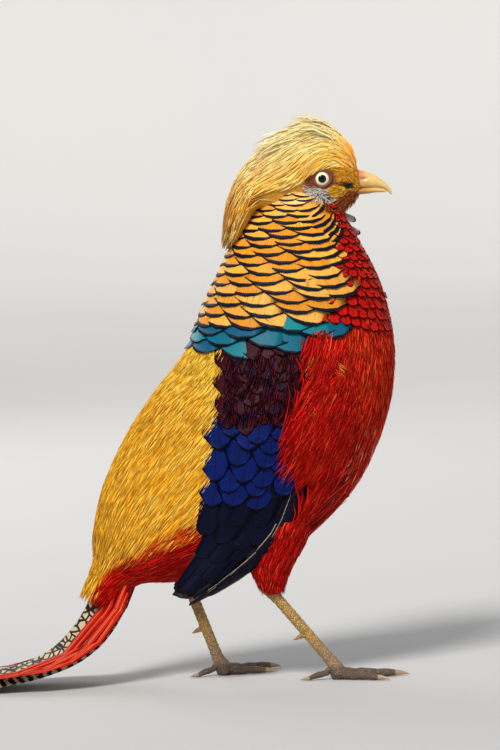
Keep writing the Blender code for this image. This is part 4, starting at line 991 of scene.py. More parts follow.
def station_at(phi, height):
    """The station where the skin crosses a height, given as a function of x, at each phi."""
    t = np.linspace(5.5, 13, 300)
    places = body_skin(t[None, :], np.atleast_1d(phi)[:, None]) - BIRD
    under = (places[..., 2] - height(places[..., 0])) < 0
    return t[np.clip(under.sum(axis=1), 0, 299)]


ROUND_NECK = np.linspace(-math.pi, math.pi, 181)
MANTLE_STATIONS = station_at(ROUND_NECK, lambda x: mantle_edge(x) + 0.003)


def mantle_station(phi):
    """The station just inside the mantle's lower edge, read from a table round the neck."""
    return np.interp(phi, ROUND_NECK, MANTLE_STATIONS)


def back_wanted(t, phi):
    """1 where golden plumes grow: over the back and rump, from the mantle to the tail."""
    inside = (np.abs(phi) < gold_edge(t) + 0.12) & (t < mantle_station(phi) - 0.05) & ~covered_by_wing(t, phi)
    inside &= (body_skin(t, phi) - BIRD)[..., 0] < 0.012
    return inside.astype(float)


def varied(colours, count, amount):
    """Each colour a little lighter or darker, by up to the amount."""
    return np.clip(colours * CHANCE.uniform(1 - amount, 1 + amount, (count, 1)), 0, 1)


BACK_LENGTHS = (0.4, 2.0, 5.0, 8.0), (0.024, 0.034, 0.028, 0.014)  # station, length
BELLY_LENGTHS = (0.0, 0.6, 2.5, 4.0, 7.5, 9.5, 12.5), (0.036, 0.034, 0.028, 0.026, 0.019, 0.012, 0.008)
GOLDEN_PARTS = (("back_plumes", (3.6, 9.2), 8500), ("rump_plumes", (0.03, 3.6), 8500))  # stations, count
SCARLET_PARTS = (("belly_plumes", (0.03, 5.2), 9800), ("breast_plumes", (5.2, 9.6), 9800),
                 ("neck_plumes", (9.6, 12.75), 2200))
for part_name, part_range, count in GOLDEN_PARTS:
    t, phi = scatter(body_skin, count, part_range, (-2.2, 2.2), back_wanted)
    near_edge = np.clip((np.abs(phi) - gold_edge(t)) / 0.5 + 1, 0, 1) ** 2
    reddish = CHANCE.random(count) < 0.75 * near_edge**1.5 * smooth_step(4.6 - t, 0, 2.5)
    straw = np.clip(CHANCE.random(count) * 0.7 + 0.8 * smooth_step(t, 3.5, 7.5), 0, 1)
    colours = mixed(GOLD, STRAW, straw)
    colours = mixed(colours, AMBER, smooth_step(near_edge, 0.3, 1.0) * CHANCE.random(count) * 0.7)
    colours = np.where(reddish[:, None], mixed(EMBER, SCARLET, CHANCE.random(count)), colours)
    lengths = CHANCE.uniform(0.75, 1.25, count) * np.interp(t, *BACK_LENGTHS)
    below_mantle = np.maximum(mantle_station(phi) + 0.15 - t, 0.05)
    lengths = np.minimum(lengths, 0.004 + 0.032 * below_mantle)
    turns = CHANCE.normal(0, 0.06, count) + 0.10 * phi
    widths = CHANCE.uniform(0.0008, 0.0018, count)
    lifts = CHANCE.uniform(-0.0004, 0.0010, count), CHANCE.uniform(0.0016, 0.0034, count)
    tints = varied(colours, count, 0.12)
    bends = CHANCE.normal(0, 0.09, count)
    coat = lay_feathers(part_name, gold_silk, body_skin, t, phi, turns, lengths, widths, lifts, tints,
                        bend=bends, unwrap=BODY_UNWRAP)


def breast_wanted(t, phi):
    """1 where the scarlet plumes grow: below the gold, and in front of the mantle and the cape."""
    inside = (np.abs(phi) > gold_edge(t) - 0.10) & ~covered_by_wing(t, phi)
    inside &= (t < mantle_station(phi) - 0.1) | (t > mantle_station(phi) + 0.9) | (np.abs(phi) > 2.35)
    neck = (t > mantle_station(phi) - 0.15) & (np.abs(phi) < cape_front(t) - 0.05)
    return (inside & ~neck).astype(float)


for part_name, part_range, count in SCARLET_PARTS:
    t, phi = scatter(body_skin, count, part_range, (-math.pi, math.pi), breast_wanted)
    glow = smooth_step(t, 3.5, 8.5) * 0.45
    colours = mixed(CRIMSON, SCARLET, CHANCE.random(count) ** 0.6)
    colours = mixed(colours, EMBER, glow * CHANCE.random(count) ** 3)
    streaked = (CHANCE.random(count) < 0.06) & (np.abs(phi) > 2.5) & (t > 3.6) & (t < 6.6)
    colours = np.where(streaked[:, None], BLUSH, colours)
    lengths = CHANCE.uniform(0.75, 1.25, count) * np.interp(t, *BELLY_LENGTHS)
    turns = CHANCE.normal(0, 0.10, count) - 0.12 * np.sign(phi) * smooth_step(np.abs(phi), 3.1, 2.2)
    widths = CHANCE.uniform(0.0009, 0.0020, count)
    lifts = CHANCE.uniform(-0.0004, 0.0008, count), CHANCE.uniform(0.0016, 0.0034, count)
    tints = varied(colours, count, 0.2)
    bends = CHANCE.normal(0, 0.10, count)
    coat = lay_feathers(part_name, scarlet_silk, body_skin, t, phi, turns, lengths, widths, lifts, tints,
                        bend=bends, unwrap=BODY_UNWRAP)

FAN_ROOT, FAN_PLUMES = (8.02, 1.74), 240  # station and phi where the fan starts
for side, word in SIDES:
    _, fan_per_t, fan_per_phi = frame_of(body_skin, np.array(FAN_ROOT[0]), np.array(FAN_ROOT[1]))
    spread_out = CHANCE.uniform(-0.30, 1.15, FAN_PLUMES)
    reach = CHANCE.uniform(0.009, 0.027, FAN_PLUMES)
    t = FAN_ROOT[0] - reach * np.cos(spread_out) / fan_per_t
    phi = -side * (FAN_ROOT[1] + reach * np.sin(spread_out) / fan_per_phi)
    ember = np.clip(reach / 0.024 + CHANCE.normal(0, 0.25, FAN_PLUMES), 0, 1)
    turns = -side * spread_out + CHANCE.normal(0, 0.08, FAN_PLUMES)
    lengths = np.minimum(reach - 0.003, 0.018)
    widths = CHANCE.uniform(0.0008, 0.0016, FAN_PLUMES)
    lifts = 0.0006, CHANCE.uniform(0.0056, 0.0070, FAN_PLUMES)
    tints = varied(mixed(FAN_TAN, EMBER, ember), FAN_PLUMES, 0.1)
    fan = lay_feathers("shoulder_fan_" + word, gold_silk, body_skin, t, phi, turns, lengths, widths, lifts,
                       tints, unwrap=BODY_UNWRAP)

THIGH_PLUMES = 2400


def everywhere(u, v):
    return np.ones_like(u)


for word, leg in LEGS.items():
    u, v = scatter(thigh_skin(leg), THIGH_PLUMES, (0.05, 3.6), (-math.pi, math.pi), everywhere)
    colours = mixed(CRIMSON, SCARLET, CHANCE.random(THIGH_PLUMES) ** 0.6)
    turns = CHANCE.normal(-0.15, 0.12, THIGH_PLUMES)
    lengths = CHANCE.uniform(0.010, 0.020, THIGH_PLUMES)
    widths = CHANCE.uniform(0.0008, 0.0016, THIGH_PLUMES)
    lifts = CHANCE.uniform(-0.0004, 0.0006, THIGH_PLUMES), CHANCE.uniform(0.0012, 0.0027, THIGH_PLUMES)
    tints = varied(colours, THIGH_PLUMES, 0.2)
    coat = lay_feathers("thigh_plumes_" + word, scarlet_silk, thigh_skin(leg), u, v, turns, lengths, widths,
                        lifts, tints, unwrap=(0, 4, -math.pi, math.pi))


# The cape: rows of broad, square-ended orange feathers tipped with a blue-black band, hanging from behind
# the face. On the side of the neck the rows swing forward round the cheek, like the ribs of a fan.
CAPE_ROWS, CAPE_SPACING, CAPE_LENGTH = 17, 0.0205, 0.027
CROWDING = 1.22  # above 1, rows lie closer towards the head
CAPE_HINGE = math.radians(98)  # phi from which the rows swing forward
CAPE_SWING = math.radians(92)  # how far they may swing
NECK_TOP, STATION_LENGTH = 12.85, 0.0205  # the station where the rows are hinged, and metres for a station
CAPE_LOW = (-0.045, -0.003, 0.032, 0.050, 0.075), (0.2475, 0.2445, 0.2465, 0.2505, 0.2570)  # x, z
CAPE_TOP = (0.020, 0.0361, 0.0423, 0.0465, 0.0538, 0.0596), (0.400, 0.3417, 0.3325, 0.3280, 0.3247, 0.3229)
CAPE_UNWRAP = (7, 13, -math.pi, math.pi)
SQUARE = ((0.0, 0.5), (0.30, 0.86), (0.55, 1.0), (0.75, 1.0), (0.88, 0.98), (0.95, 0.94), (1.0, 0.86))
VANE = 0.00035  # thickness of a broad feather
PLAIN = (1.0, 1.0, 1.0)  # leaves the material's colour as it is


def cape_low(x):
    """Height of the cape's last row of tips."""
    return np.interp(x, *CAPE_LOW)


def cape_top(x):
    """Height of the cape's upper edge, where the cheek and the chin begin."""
    return np.interp(x, *CAPE_TOP)


def cape_places():
    """Row, tip station, tip phi and turn of each feather of the cape."""
    found = []
    for row in range(CAPE_ROWS):
        share = ((row + 1) / CAPE_ROWS) ** CROWDING
        reach = share * (NECK_TOP - station_at(CAPE_HINGE, cape_low)[0])
        metric = float(frame_of(body_skin, np.array(NECK_TOP - reach), np.array(math.radians(90)))[2])
        step = CAPE_SPACING / metric * (0.62 + 0.38 * smooth_step(row, 0, 7))
        for k in range(-36, 37):
            phi = (k + 0.5 * (row % 2)) * step + CHANCE.normal(0, 0.04) * step
            side, size = (-1 if phi < 0 else 1), abs(phi)
            if size <= CAPE_HINGE:
                tip_t = NECK_TOP - share * (NECK_TOP - station_at(phi, cape_low)[0])
                found.append((row, tip_t, phi, 0.0))
                continue
            swing = (size - CAPE_HINGE) * metric / (reach * STATION_LENGTH)
            tip_t = NECK_TOP - reach * math.cos(swing)
            tip_phi = CAPE_HINGE + reach * STATION_LENGTH * math.sin(swing) / metric
            if swing < CAPE_SWING and tip_phi < cape_front(tip_t):
                found.append((row, tip_t, side * tip_phi, side * swing))
    found = np.array(found)
    place = body_skin(found[:, 1], found[:, 2]) - BIRD
    return found[place[:, 2] < cape_top(place[:, 0]) - 0.0015].T


def banded_material(name, ground, pale, band, band_share, fleck):
    """Broad feathers, some paler than others, with fine dark barbs and a dark band at the tip."""
    finish = {"Roughness": 0.5, "Specular_IOR_Level": 0.08}
    material, tree, shader, part = feather_material(name, 26.0, 0.07, 7.0, **finish)
    barbs = add_node(tree, "CombineXYZ", i0=maths(tree, "MULTIPLY", part["Across"], 38.0), i1=part["Along"],
                     i2=maths(tree, "MULTIPLY", part["Tone"], 51.0)).outputs[0]
    hair = noise(tree, barbs, 1.0, 2.0)
    colour = mix_colours(tree, step_up(tree, part["Tone"], 0.1, 0.9), ground, pale)
    colour = mix_colours(tree, 1.0, colour, own_colour(tree), "MULTIPLY")
    lines = maths(tree, "MULTIPLY", step_up(tree, hair, 0.52, 0.70), fleck)
    colour = mix_colours(tree, lines, colour, (0.22, 0.07, 0.02, 1))
    wave = maths(tree, "MULTIPLY", maths(tree, "SUBTRACT", hair, 0.5), 0.03)
    wavy = maths(tree, "ADD", part["Along"], wave)
    edge = step_up(tree, wavy, 1 - band_share - 0.015, 1 - band_share + 0.01)
    paint(tree, shader, mix_colours(tree, edge, colour, band))
    roughen(tree, shader, part["Barb"], 0.0003, 0.6)
    return material


amber_bands = banded_material(
    "amber_bands", (0.70, 0.26, 0.012, 1), (0.84, 0.42, 0.05, 1), (0.005, 0.006, 0.018, 1), 0.095, 0.65
)
row, cape_t, cape_phi, cape_turn = cape_places()
upright = 1 - smooth_step(row / (CAPE_ROWS - 1), 0.0, 0.42)
cape_lengths = CAPE_LENGTH * (1 - 0.55 * upright) * CHANCE.uniform(0.95, 1.05, len(row))
low_rows = smooth_step(row, 10, 14)
cape_colours = mixed(PLAIN, (0.84, 0.90, 1.6), low_rows * 0.8)
cape_heights = (body_skin(cape_t, cape_phi) - BIRD)[:, 2]
creamy = smooth_step(cape_heights, 0.318, 0.338) * CHANCE.random(len(row)) ** 0.7
cape_colours = mixed(cape_colours, (1.15, 1.75, 7.0), creamy)
cape_turns = cape_turn + CHANCE.normal(0, 0.05, len(row))
cape_widths = CAPE_SPACING * 1.60 * (1 - 0.42 * upright)
cape_lifts = 0.0004, 0.0038 + 0.0012 * low_rows + CHANCE.uniform(-0.0003, 0.0003, len(row))
cape = lay_feathers(
    "cape_feathers", amber_bands, body_skin, cape_t, cape_phi, cape_turns, cape_lengths, cape_widths,
    cape_lifts, cape_colours, SQUARE, BLADE, VANE, round_tip=0.17, camber=0.03, unwrap=CAPE_UNWRAP, patch=0.03
)

# Two pale feathers from the cape's left side stand out past the throat.
FAR_T, FAR_PHI = np.array([11.60, 11.15]), np.radians([-163, -159])
FAR_TURNS = np.array([-0.55, -0.45])
FAR_LENGTH, FAR_WIDTH, FAR_LIFTS = 0.017, 0.0105, (0.0010, np.array([0.0092, 0.0084]))
far_pale = banded_material(
    "pale_cape_tips", (0.80, 0.76, 0.68, 1), (0.90, 0.88, 0.82, 1), (0.010, 0.010, 0.020, 1), 0.05, 0.3
)
far_tips = lay_feathers(
    "far_cape_tips", far_pale, body_skin, FAR_T, FAR_PHI, FAR_TURNS, FAR_LENGTH, FAR_WIDTH, FAR_LIFTS,
    PLAIN, SQUARE, BLADE, VANE, round_tip=0.2, camber=0.03, unwrap=CAPE_UNWRAP, patch=0.03
)


# The mantle: three rows of broad, rounded feathers of a shining blue-green, each with a fine black edge,
# between the cape and the back. They narrow to a strip that runs forward to the breast.
MANTLE_ROWS, MANTLE_SPACING, MANTLE_LENGTH = 3, 0.0270, 0.026
MANTLE_RISE = 0.0064  # from one row to the next
MANTLE_FRONT = math.radians(128)
MANTLE_GIRTH = 0.056  # radius of the body where the rows lie
turquoise = banded_material(
    "turquoise_gloss", (0.002, 0.075, 0.15, 1), (0.004, 0.19, 0.22, 1), (0.001, 0.003, 0.010, 1), 0.075, 0.0
)
turquoise_shader = turquoise.node_tree.nodes["Principled BSDF"]
turquoise_shader.inputs["Roughness"].default_value = 0.45
turquoise_shader.inputs["Specular IOR Level"].default_value = 0.12
mantle_row, mantle_t, mantle_phi = [], [], []
for row_index in range(MANTLE_ROWS):
    for k in range(-12, 13):
        phi = (k + 0.5 * (row_index % 2)) * MANTLE_SPACING / MANTLE_GIRTH
        if abs(phi) < MANTLE_FRONT - 0.28 * row_index:
            rise = MANTLE_RISE * row_index * (1 - 0.5 * smooth_step(abs(phi), 1.4, 2.2)) + 0.0005
            mantle_row.append(row_index)
            mantle_phi.append(phi)
            mantle_t.append(station_at(phi, lambda x: mantle_edge(x) + rise)[0])
mantle_phi, mantle_t = np.array(mantle_phi), np.array(mantle_t)
mantle_turns = CHANCE.normal(0, 0.04, len(mantle_phi))
mantle_turns += 0.35 * np.sign(mantle_phi) * smooth_step(np.abs(mantle_phi), 1.5, 2.2)
mantle_lengths = MANTLE_LENGTH * CHANCE.uniform(0.95, 1.05, len(mantle_phi))
mantle_lifts = 0.0002, 0.0044 + 0.0004 * np.array(mantle_row)
mantle = lay_feathers(
    "mantle_feathers", turquoise, body_skin, mantle_t, mantle_phi, mantle_turns, mantle_lengths,
    MANTLE_SPACING * 1.30, mantle_lifts, PLAIN, SQUARE, BLADE, VANE, round_tip=0.20, camber=0.02,
    unwrap=(6, 10, -math.pi, math.pi), patch=0.04
)


# The crest: silky golden plumes that rise from the forehead, lie back over the crown and hang down the
# nape in amber points. A lofted base fills it, and the plumes are laid over that from front to back.
CREST = [  # middle line x, z, side edge x, z, half width; from the bill to the hanging end
    (0.0765, 0.3555, 0.0735, 0.3485, 0.0065),
    (0.0720, 0.3705, 0.0655, 0.3535, 0.0125),
    (0.0600, 0.3835, 0.0560, 0.3590, 0.0175),
    (0.0440, 0.3880, 0.0420, 0.3550, 0.020),
    (0.0260, 0.3820, 0.0290, 0.3470, 0.0225),
    (0.0080, 0.3700, 0.0150, 0.3440, 0.0245),
    (-0.0060, 0.3560, 0.0010, 0.3395, 0.0255),
    (-0.0150, 0.3380, -0.0060, 0.3270, 0.0245),
    (-0.0190, 0.3200, -0.0112, 0.3130, 0.0210),
    (-0.0210, 0.3020, -0.0170, 0.2990, 0.0150),
]
CREST_DEPTH, CREST_PLUMES = 0.0035, 5200
CREST_ORANGE, CREST_YELLOW, CREST_HIGHLIGHT = (0.98, 0.50, 0.02), (1.0, 0.80, 0.22), (1.0, 0.94, 0.64)
CREST_BROWN, DOWN_SHADE = (0.34, 0.13, 0.02), (0.30, 0.10, 0.008, 1)
CREST_RINGS = [(a, b, 2 * c - a, 2 * d - b, w) for a, b, c, d, w in CREST]


def crest_base(u, phi):
    """The crest under its plumes. u runs forward from the hanging end."""
    return ring_point(CREST_RINGS, -np.asarray(u, float), phi, -CREST_DEPTH)


crest_silk = silky_material("crest_silk", (1.0, 0.90, 0.48), 0.65, (0.92, 0.70, 0.42))
gold_base, gold_base_tree, gold_base_shader = start_material("gold_down", Roughness=0.6)
drawn_out = add_node(
    gold_base_tree, "Mapping", Vector=object_place(gold_base_tree), Scale=(300.0, 1800.0, 900.0)
).outputs[0]
strands = noise(gold_base_tree, drawn_out, 1.0)
paint(gold_base_tree, gold_base_shader, mix_colours(gold_base_tree, strands, DOWN_SHADE, (*GOLD, 1)))
crest_work = bmesh.new()
loft(crest_work, lofted_rings(lambda t, phi: crest_base(-t, phi), np.linspace(0.25, 8.3, 40), 48))
crest_down = to_object(crest_work, "crest_down", gold_base)
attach(crest_down, "root")
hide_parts("crest")

crest_t, crest_phi = scatter(
    lambda t, phi: crest_base(-t, phi), CREST_PLUMES, (0.7, 8.9), (-1.75, 1.75), everywhere
)
nape = smooth_step(crest_t, 4.5, 8.5)
# Painted highlight: the plumes on the top of the crown are made paler and more yellow.
crown_highlight = (1 - smooth_step(np.abs(crest_phi), 0.5, 1.6)) * smooth_step(crest_t, 1.6, 3.0) * (1 - nape)
yellowness = np.clip(CHANCE.random(CREST_PLUMES) * 0.8 + crown_highlight * 0.7 + 0.15, 0, 1)
crest_colours = mixed(CREST_ORANGE, CREST_YELLOW, yellowness)
crest_colours = mixed(crest_colours, CREST_HIGHLIGHT, crown_highlight * CHANCE.random(CREST_PLUMES) ** 0.5)
by_bill = smooth_step(2.2 - crest_t, 0, 1.0) * 0.5
crest_colours = mixed(crest_colours, AMBER, np.maximum(nape * CHANCE.random(CREST_PLUMES) ** 1.5, by_bill))
hanging_end = smooth_step(crest_t, 6.8, 8.9) * CHANCE.random(CREST_PLUMES)
crest_colours = mixed(crest_colours, CREST_BROWN, hanging_end)
crest_size = CHANCE.uniform(0.7, 1.2, CREST_PLUMES)
crest_room = 0.0045 + 0.0115 * crest_t
wispy = np.exp(-((crest_t - 3.5) / 0.45) ** 2) + 0.9 * np.exp(-((crest_t - 4.9) / 0.35) ** 2)
standing = np.where(np.abs(crest_phi) < 0.7, wispy, 0) * 0.0100 * CHANCE.random(CREST_PLUMES) ** 4
turns = CHANCE.normal(0, 0.07, CREST_PLUMES) + 0.16 * crest_phi * (1 - nape)
lengths = np.minimum(0.034 * crest_size, crest_room)
widths = CHANCE.uniform(0.0007, 0.0019, CREST_PLUMES)
root_lifts = CHANCE.uniform(-0.0004, 0.0006, CREST_PLUMES)
tip_lifts = CHANCE.uniform(0.0008, 0.0036, CREST_PLUMES) + standing
tints = varied(crest_colours, CREST_PLUMES, 0.12)
bends = CHANCE.normal(0, 0.12, CREST_PLUMES)
crest = lay_feathers(
    "crest_plumes", crest_silk, crest_base, -crest_t, crest_phi, turns, lengths, widths,
    (root_lifts, tip_lifts), tints, bend=bends, unwrap=(-9, 0, -math.pi, math.pi)
)


# The face: very short feathers. They are grey-white and flecked with black on the cheek, rusty and
# bristly on the chin and throat, and gold over the eye, and leave the skin round the eye almost bare.
FACE_TUFTS, CHEEK_TUFTS = 5200, 3000
FLECK, FLECKED_AT, FLECKED_REACH = (0.02, 0.02, 0.035), (0.050, 0.3335), (0.0055, 0.0045)
TUFT = 0.0002  # thickness
face_down = silky_material("face_down", (0.90, 0.74, 0.5), 0.15, (0.72, 0.62, 0.5))


def fleck(tints, places, share):
    """Turns up to that share of the cheek's small feathers black."""
    chosen = CHANCE.random(len(places)) < share * spot(places[:, 0], places[:, 2], FLECKED_AT, FLECKED_REACH)
    return np.where(chosen[:, None], FLECK, tints)


def face_wanted(t, phi):
    """1 on the head, but 0 round the eye and on the bill."""
    place = face_skin(t, phi) - BIRD
    round_eye = spot(place[..., 0], place[..., 2], EYE[[0, 2]], (0.0080, 0.0066)) > 0.5
    bare = round_eye & (np.abs(place[..., 1]) > 0.006)
    return np.where(bare, 0.0, 1.0) * (place[..., 0] < 0.0750)


face_t, face_phi = scatter(face_skin, FACE_TUFTS, (0.3, 6.7), (-math.pi, math.pi), face_wanted)
face_places = face_skin(face_t, face_phi) - BIRD
face_tints = fleck(face_colours(face_places), face_places, 0.5)
bristly = smooth_step(0.337 - face_places[:, 2], 0, 0.008) * (face_places[:, 0] > 0.056)
turns = CHANCE.normal(0, 0.25, FACE_TUFTS)
lengths = CHANCE.uniform(0.0022, 0.0042, FACE_TUFTS) * (1 + 0.7 * bristly)
widths = CHANCE.uniform(0.00035, 0.0008, FACE_TUFTS)
root_lifts = CHANCE.uniform(-0.0003, 0.0002, FACE_TUFTS)
tip_lifts = CHANCE.uniform(0.0003, 0.0010, FACE_TUFTS) + 0.0022 * bristly * CHANCE.random(FACE_TUFTS)
tints = varied(face_tints, FACE_TUFTS, 0.2)
face_coat = lay_feathers(
    "face_feathers", face_down, face_skin, face_t, face_phi, turns, lengths, widths, (root_lifts, tip_lifts),
    tints, thick=TUFT, unwrap=(0, 7, -math.pi, math.pi)
)


def cheek_wanted(t, phi):
    """1 on the front of the neck over the cape's upper edge."""
    place = body_skin(t, phi) - BIRD
    inside = (place[..., 2] > cape_top(place[..., 0]) - 0.003) & (place[..., 0] > 0.030)
    return inside.astype(float)


cheek_t, cheek_phi = scatter(body_skin, CHEEK_TUFTS, (11.3, 12.99), (-math.pi, math.pi), cheek_wanted)
cheek_places = body_skin(cheek_t, cheek_phi) - BIRD
cheek_tints = fleck(face_colours(cheek_places), cheek_places, 0.3)
turns = CHANCE.normal(0, 0.3, CHEEK_TUFTS) - 0.5 * np.sign(cheek_phi)
lengths = CHANCE.uniform(0.0025, 0.0050, CHEEK_TUFTS)
widths = CHANCE.uniform(0.0004, 0.0010, CHEEK_TUFTS)
lifts = CHANCE.uniform(0.0010, 0.0020, CHEEK_TUFTS), CHANCE.uniform(0.0026, 0.0042, CHEEK_TUFTS)
tints = varied(cheek_tints, CHEEK_TUFTS, 0.2)
cheek_coat = lay_feathers(
    "cheek_feathers", face_down, body_skin, cheek_t, cheek_phi, turns, lengths, widths, lifts, tints,
    thick=TUFT, unwrap=(11, 13, -math.pi, math.pi)
)


# The folded wings: dark maroon scapulars over the shoulder, rounded ultramarine coverts and tertials with
# black edges below them, and long blue-black flight feathers with a thin buff edge that close to a point.
WING_TIERS = (  # heights of the rows of tips, feathers across, length, width, reach, finish, round tip
    ((0.2230, 0.2160, 0.2090, 0.2015, 0.1940, 0.1865, 0.1790), 6, 0.028, 0.0180, 0.98, "maroon", 0.44),
    ((0.1700, 0.1605, 0.1510, 0.1415, 0.1320, 0.1225), 4, 0.036, 0.0245, 0.90, "blue", 0.42),
    ((0.1110, 0.1000, 0.0890), 4, 0.056, 0.0155, 0.86, "night", 0.22),
    ((0.0770, 0.0660), 3, 0.070, 0.0110, 0.60, "night", 0.18),
    ((0.1060, 0.0960, 0.0880, 0.0810, 0.0750, 0.0690, 0.0630), 1, 0.082, 0.0120, 0.0, "edged", 0.20),
)
OVAL = ((0.0, 0.5), (0.25, 0.85), (0.55, 1.0), (0.78, 1.0), (0.90, 0.95), (0.96, 0.88), (1.0, 0.76))
QUILL = 0.0003  # thickness of a wing feather
WING_UNWRAP, FLANK_UNWRAP = (0, 1, -1, 1), (0, 1, -1, 1.5)
FLANK_EDGE = (  # height, and how far forward on the wing, from -1 to 1, the flank plumes end there
    (0.058, 0.087, 0.110, 0.128, 0.1365, 0.142, 0.155, 0.172, 0.193, 0.228),
    (1.04, 0.78, 0.70, 0.80, 1.00, 0.48, 0.37, 0.48, 0.76, 0.85),
)


def wing_material(name, ground, gloss, edge_colour, edge_share, side_from=0.82):
    """Broad glossy feathers with a darker or paler edge round the tip and along both sides."""
    finish = {"Roughness": 0.42, "Specular_IOR_Level": 0.06}
    material, tree, shader, part = feather_material(name, 42.0, 0.05, 9.0, **finish)
    colour = mix_colours(tree, part["Barb"], ground, gloss)
    colour = mix_colours(tree, maths(tree, "MULTIPLY", part["Tone"], 0.4), colour, gloss)
    near_tip = step_up(tree, part["Along"], 1 - edge_share * 1.4, 1 - edge_share * 0.6)
    beside = step_up(tree, part["Across"], side_from, side_from + 0.10)
    near_side = maths(tree, "MULTIPLY", beside, step_up(tree, part["Along"], 0.3, 0.7))
    colour = mix_colours(tree, maths(tree, "MAXIMUM", near_tip, near_side), colour, edge_colour)
    paint(tree, shader, mix_colours(tree, part["Shaft"], colour, (0.004, 0.004, 0.006, 1)))
    roughen(tree, shader, part["Barb"], 0.0003, 0.7)
    return material


wing_finishes = {
    "maroon": wing_material("maroon_scapulars", (0.007, 0.001, 0.004, 1), (0.048, 0.003, 0.009, 1),
                            (0.004, 0.002, 0.004, 1), 0.03),
    "blue": wing_material("ultramarine_coverts", (0.001, 0.004, 0.034, 1), (0.003, 0.012, 0.125, 1),
                          (0.002, 0.002, 0.008, 1), 0.05),
    "night": wing_material("night_blue_quills", (0.001, 0.001, 0.005, 1), (0.003, 0.005, 0.022, 1),
                           (0.012, 0.006, 0.006, 1), 0.02),
    "edged": wing_material("buff_edged_quills", (0.002, 0.002, 0.006, 1), (0.006, 0.006, 0.018, 1),
                           (0.42, 0.32, 0.22, 1), 0.0, 0.88),
}


def flank_edge(z):
    return np.interp(z, *FLANK_EDGE)


WING_MIDDLE = np.array([(row[1] + row[3]) / 2 for row in WING])
for side, word in SIDES:
    for tier, (heights, across_count, length, width, reach, finish_name, tip_round) in enumerate(WING_TIERS):
        down, across_wing, odd = [], [], []  # from shoulder to wing tip, and from rear to front edge
        edged = finish_name == "edged"
        for index, height in enumerate(heights):
            tip = np.interp(-height, -WING_MIDDLE, np.arange(len(WING))) / (len(WING) - 1)
            middle = flank_edge(height) - 0.10 if edged else 0.0
            for k in range(across_count + (index % 2)):
                share = (2 * k + 1 - (index % 2)) / across_count - 1
                down.append(tip + CHANCE.normal(0, 0.008))
                across_wing.append(middle + reach * share + CHANCE.normal(0, 0.045))
                odd.append(k % 2 + (3 if edged else 0))
        down, across_wing, odd = np.array(down), np.clip(across_wing, -0.96, 0.96), np.array(odd)
        if finish_name == "blue":
            tip_heights = np.interp(down * (len(WING) - 1), np.arange(len(WING)), WING_MIDDLE)
            shown = across_wing < flank_edge(tip_heights) + 0.25
            shown &= (across_wing < 0.40) | (down < 0.42)
            down, across_wing, odd = down[shown], across_wing[shown], odd[shown]
        count = len(down)
        turns = (CHANCE.normal(0, 0.09, count) - 0.05 * across_wing) * (not edged)
        lengths = length * CHANCE.uniform(0.90, 1.08, count)
        widths = width * CHANCE.uniform(0.88, 1.15, count)
        quills = lay_feathers(
            f"wing_{finish_name}_{tier}_{word}", wing_finishes[finish_name], wing_skin(side), 1 - down,
            across_wing, turns, lengths, widths, (0.0002, 0.0026 + 0.0005 * odd), PLAIN, OVAL, BLADE, QUILL,
            round_tip=tip_round, camber=0.02, outside=-side, unwrap=WING_UNWRAP, patch=0.04
        )
        if tier == 0:
            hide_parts("wing_" + word)


# The loose ends of the scapulars: fine maroon strands, with a blue one here and there, that lie over the
# shoulder of each wing and soften the rows of broad feathers under them.
FRINGE_STRANDS = 800
FRINGE_DARK, FRINGE_MAROON, FRINGE_BLUE = (0.006, 0.001, 0.004), (0.065, 0.003, 0.008), (0.004, 0.010, 0.080)
maroon_silk = silky_material("maroon_silk", (0.22, 0.012, 0.02), 0.25, (0.2, 0.2, 0.3))
for side, word in SIDES:

    def shoulder_wanted(u, v, side=side):
        height = (wing_skin(side)(u, v) - BIRD)[..., 2]
        return (height < 0.2225) & (height > 0.1790)

    u, v = scatter(wing_skin(side), FRINGE_STRANDS, (0.5, 0.9), (-0.97, 0.90), shoulder_wanted)
    hue = CHANCE.random(FRINGE_STRANDS)
    colours = mixed(mixed(FRINGE_DARK, FRINGE_MAROON, hue), FRINGE_BLUE, (hue < 0.15) * 0.9)
    turns = CHANCE.normal(-0.1, 0.22, FRINGE_STRANDS)
    lengths = CHANCE.uniform(0.008, 0.018, FRINGE_STRANDS)
    widths = CHANCE.uniform(0.0007, 0.0016, FRINGE_STRANDS)
    lifts = 0.0010, CHANCE.uniform(0.0030, 0.0044, FRINGE_STRANDS)
    tints = varied(colours, FRINGE_STRANDS, 0.2)
    fringe = lay_feathers("shoulder_fringe_" + word, maroon_silk, wing_skin(side), u, v, turns, lengths,
                          widths, lifts, tints, outside=-side, unwrap=FLANK_UNWRAP)


# The flank plumes: long scarlet hair-like feathers that spring from the breast and belly in front of each
# wing, and sweep down and back over its front edge. Shafts of a lighter red show between them.
FLANK_PLUMES = 5200
BELLY_FRONT = (  # z, x
    (0.060, 0.082, 0.102, 0.1255, 0.160, 0.220),
    (0.0146, 0.0210, 0.0395, 0.0615, 0.082, 0.098),
)
ROOT_WIDTH = 0.036  # half width that the body needs under the root of a plume


def root_on_body(place, length):
    """Whether a plume of that length, with its tip at a place, springs from the broad part of the body."""
    back = 0.85 * length
    return side_of_body(place[..., 0] + back + BIRD[0], place[..., 2] + back) > ROOT_WIDTH


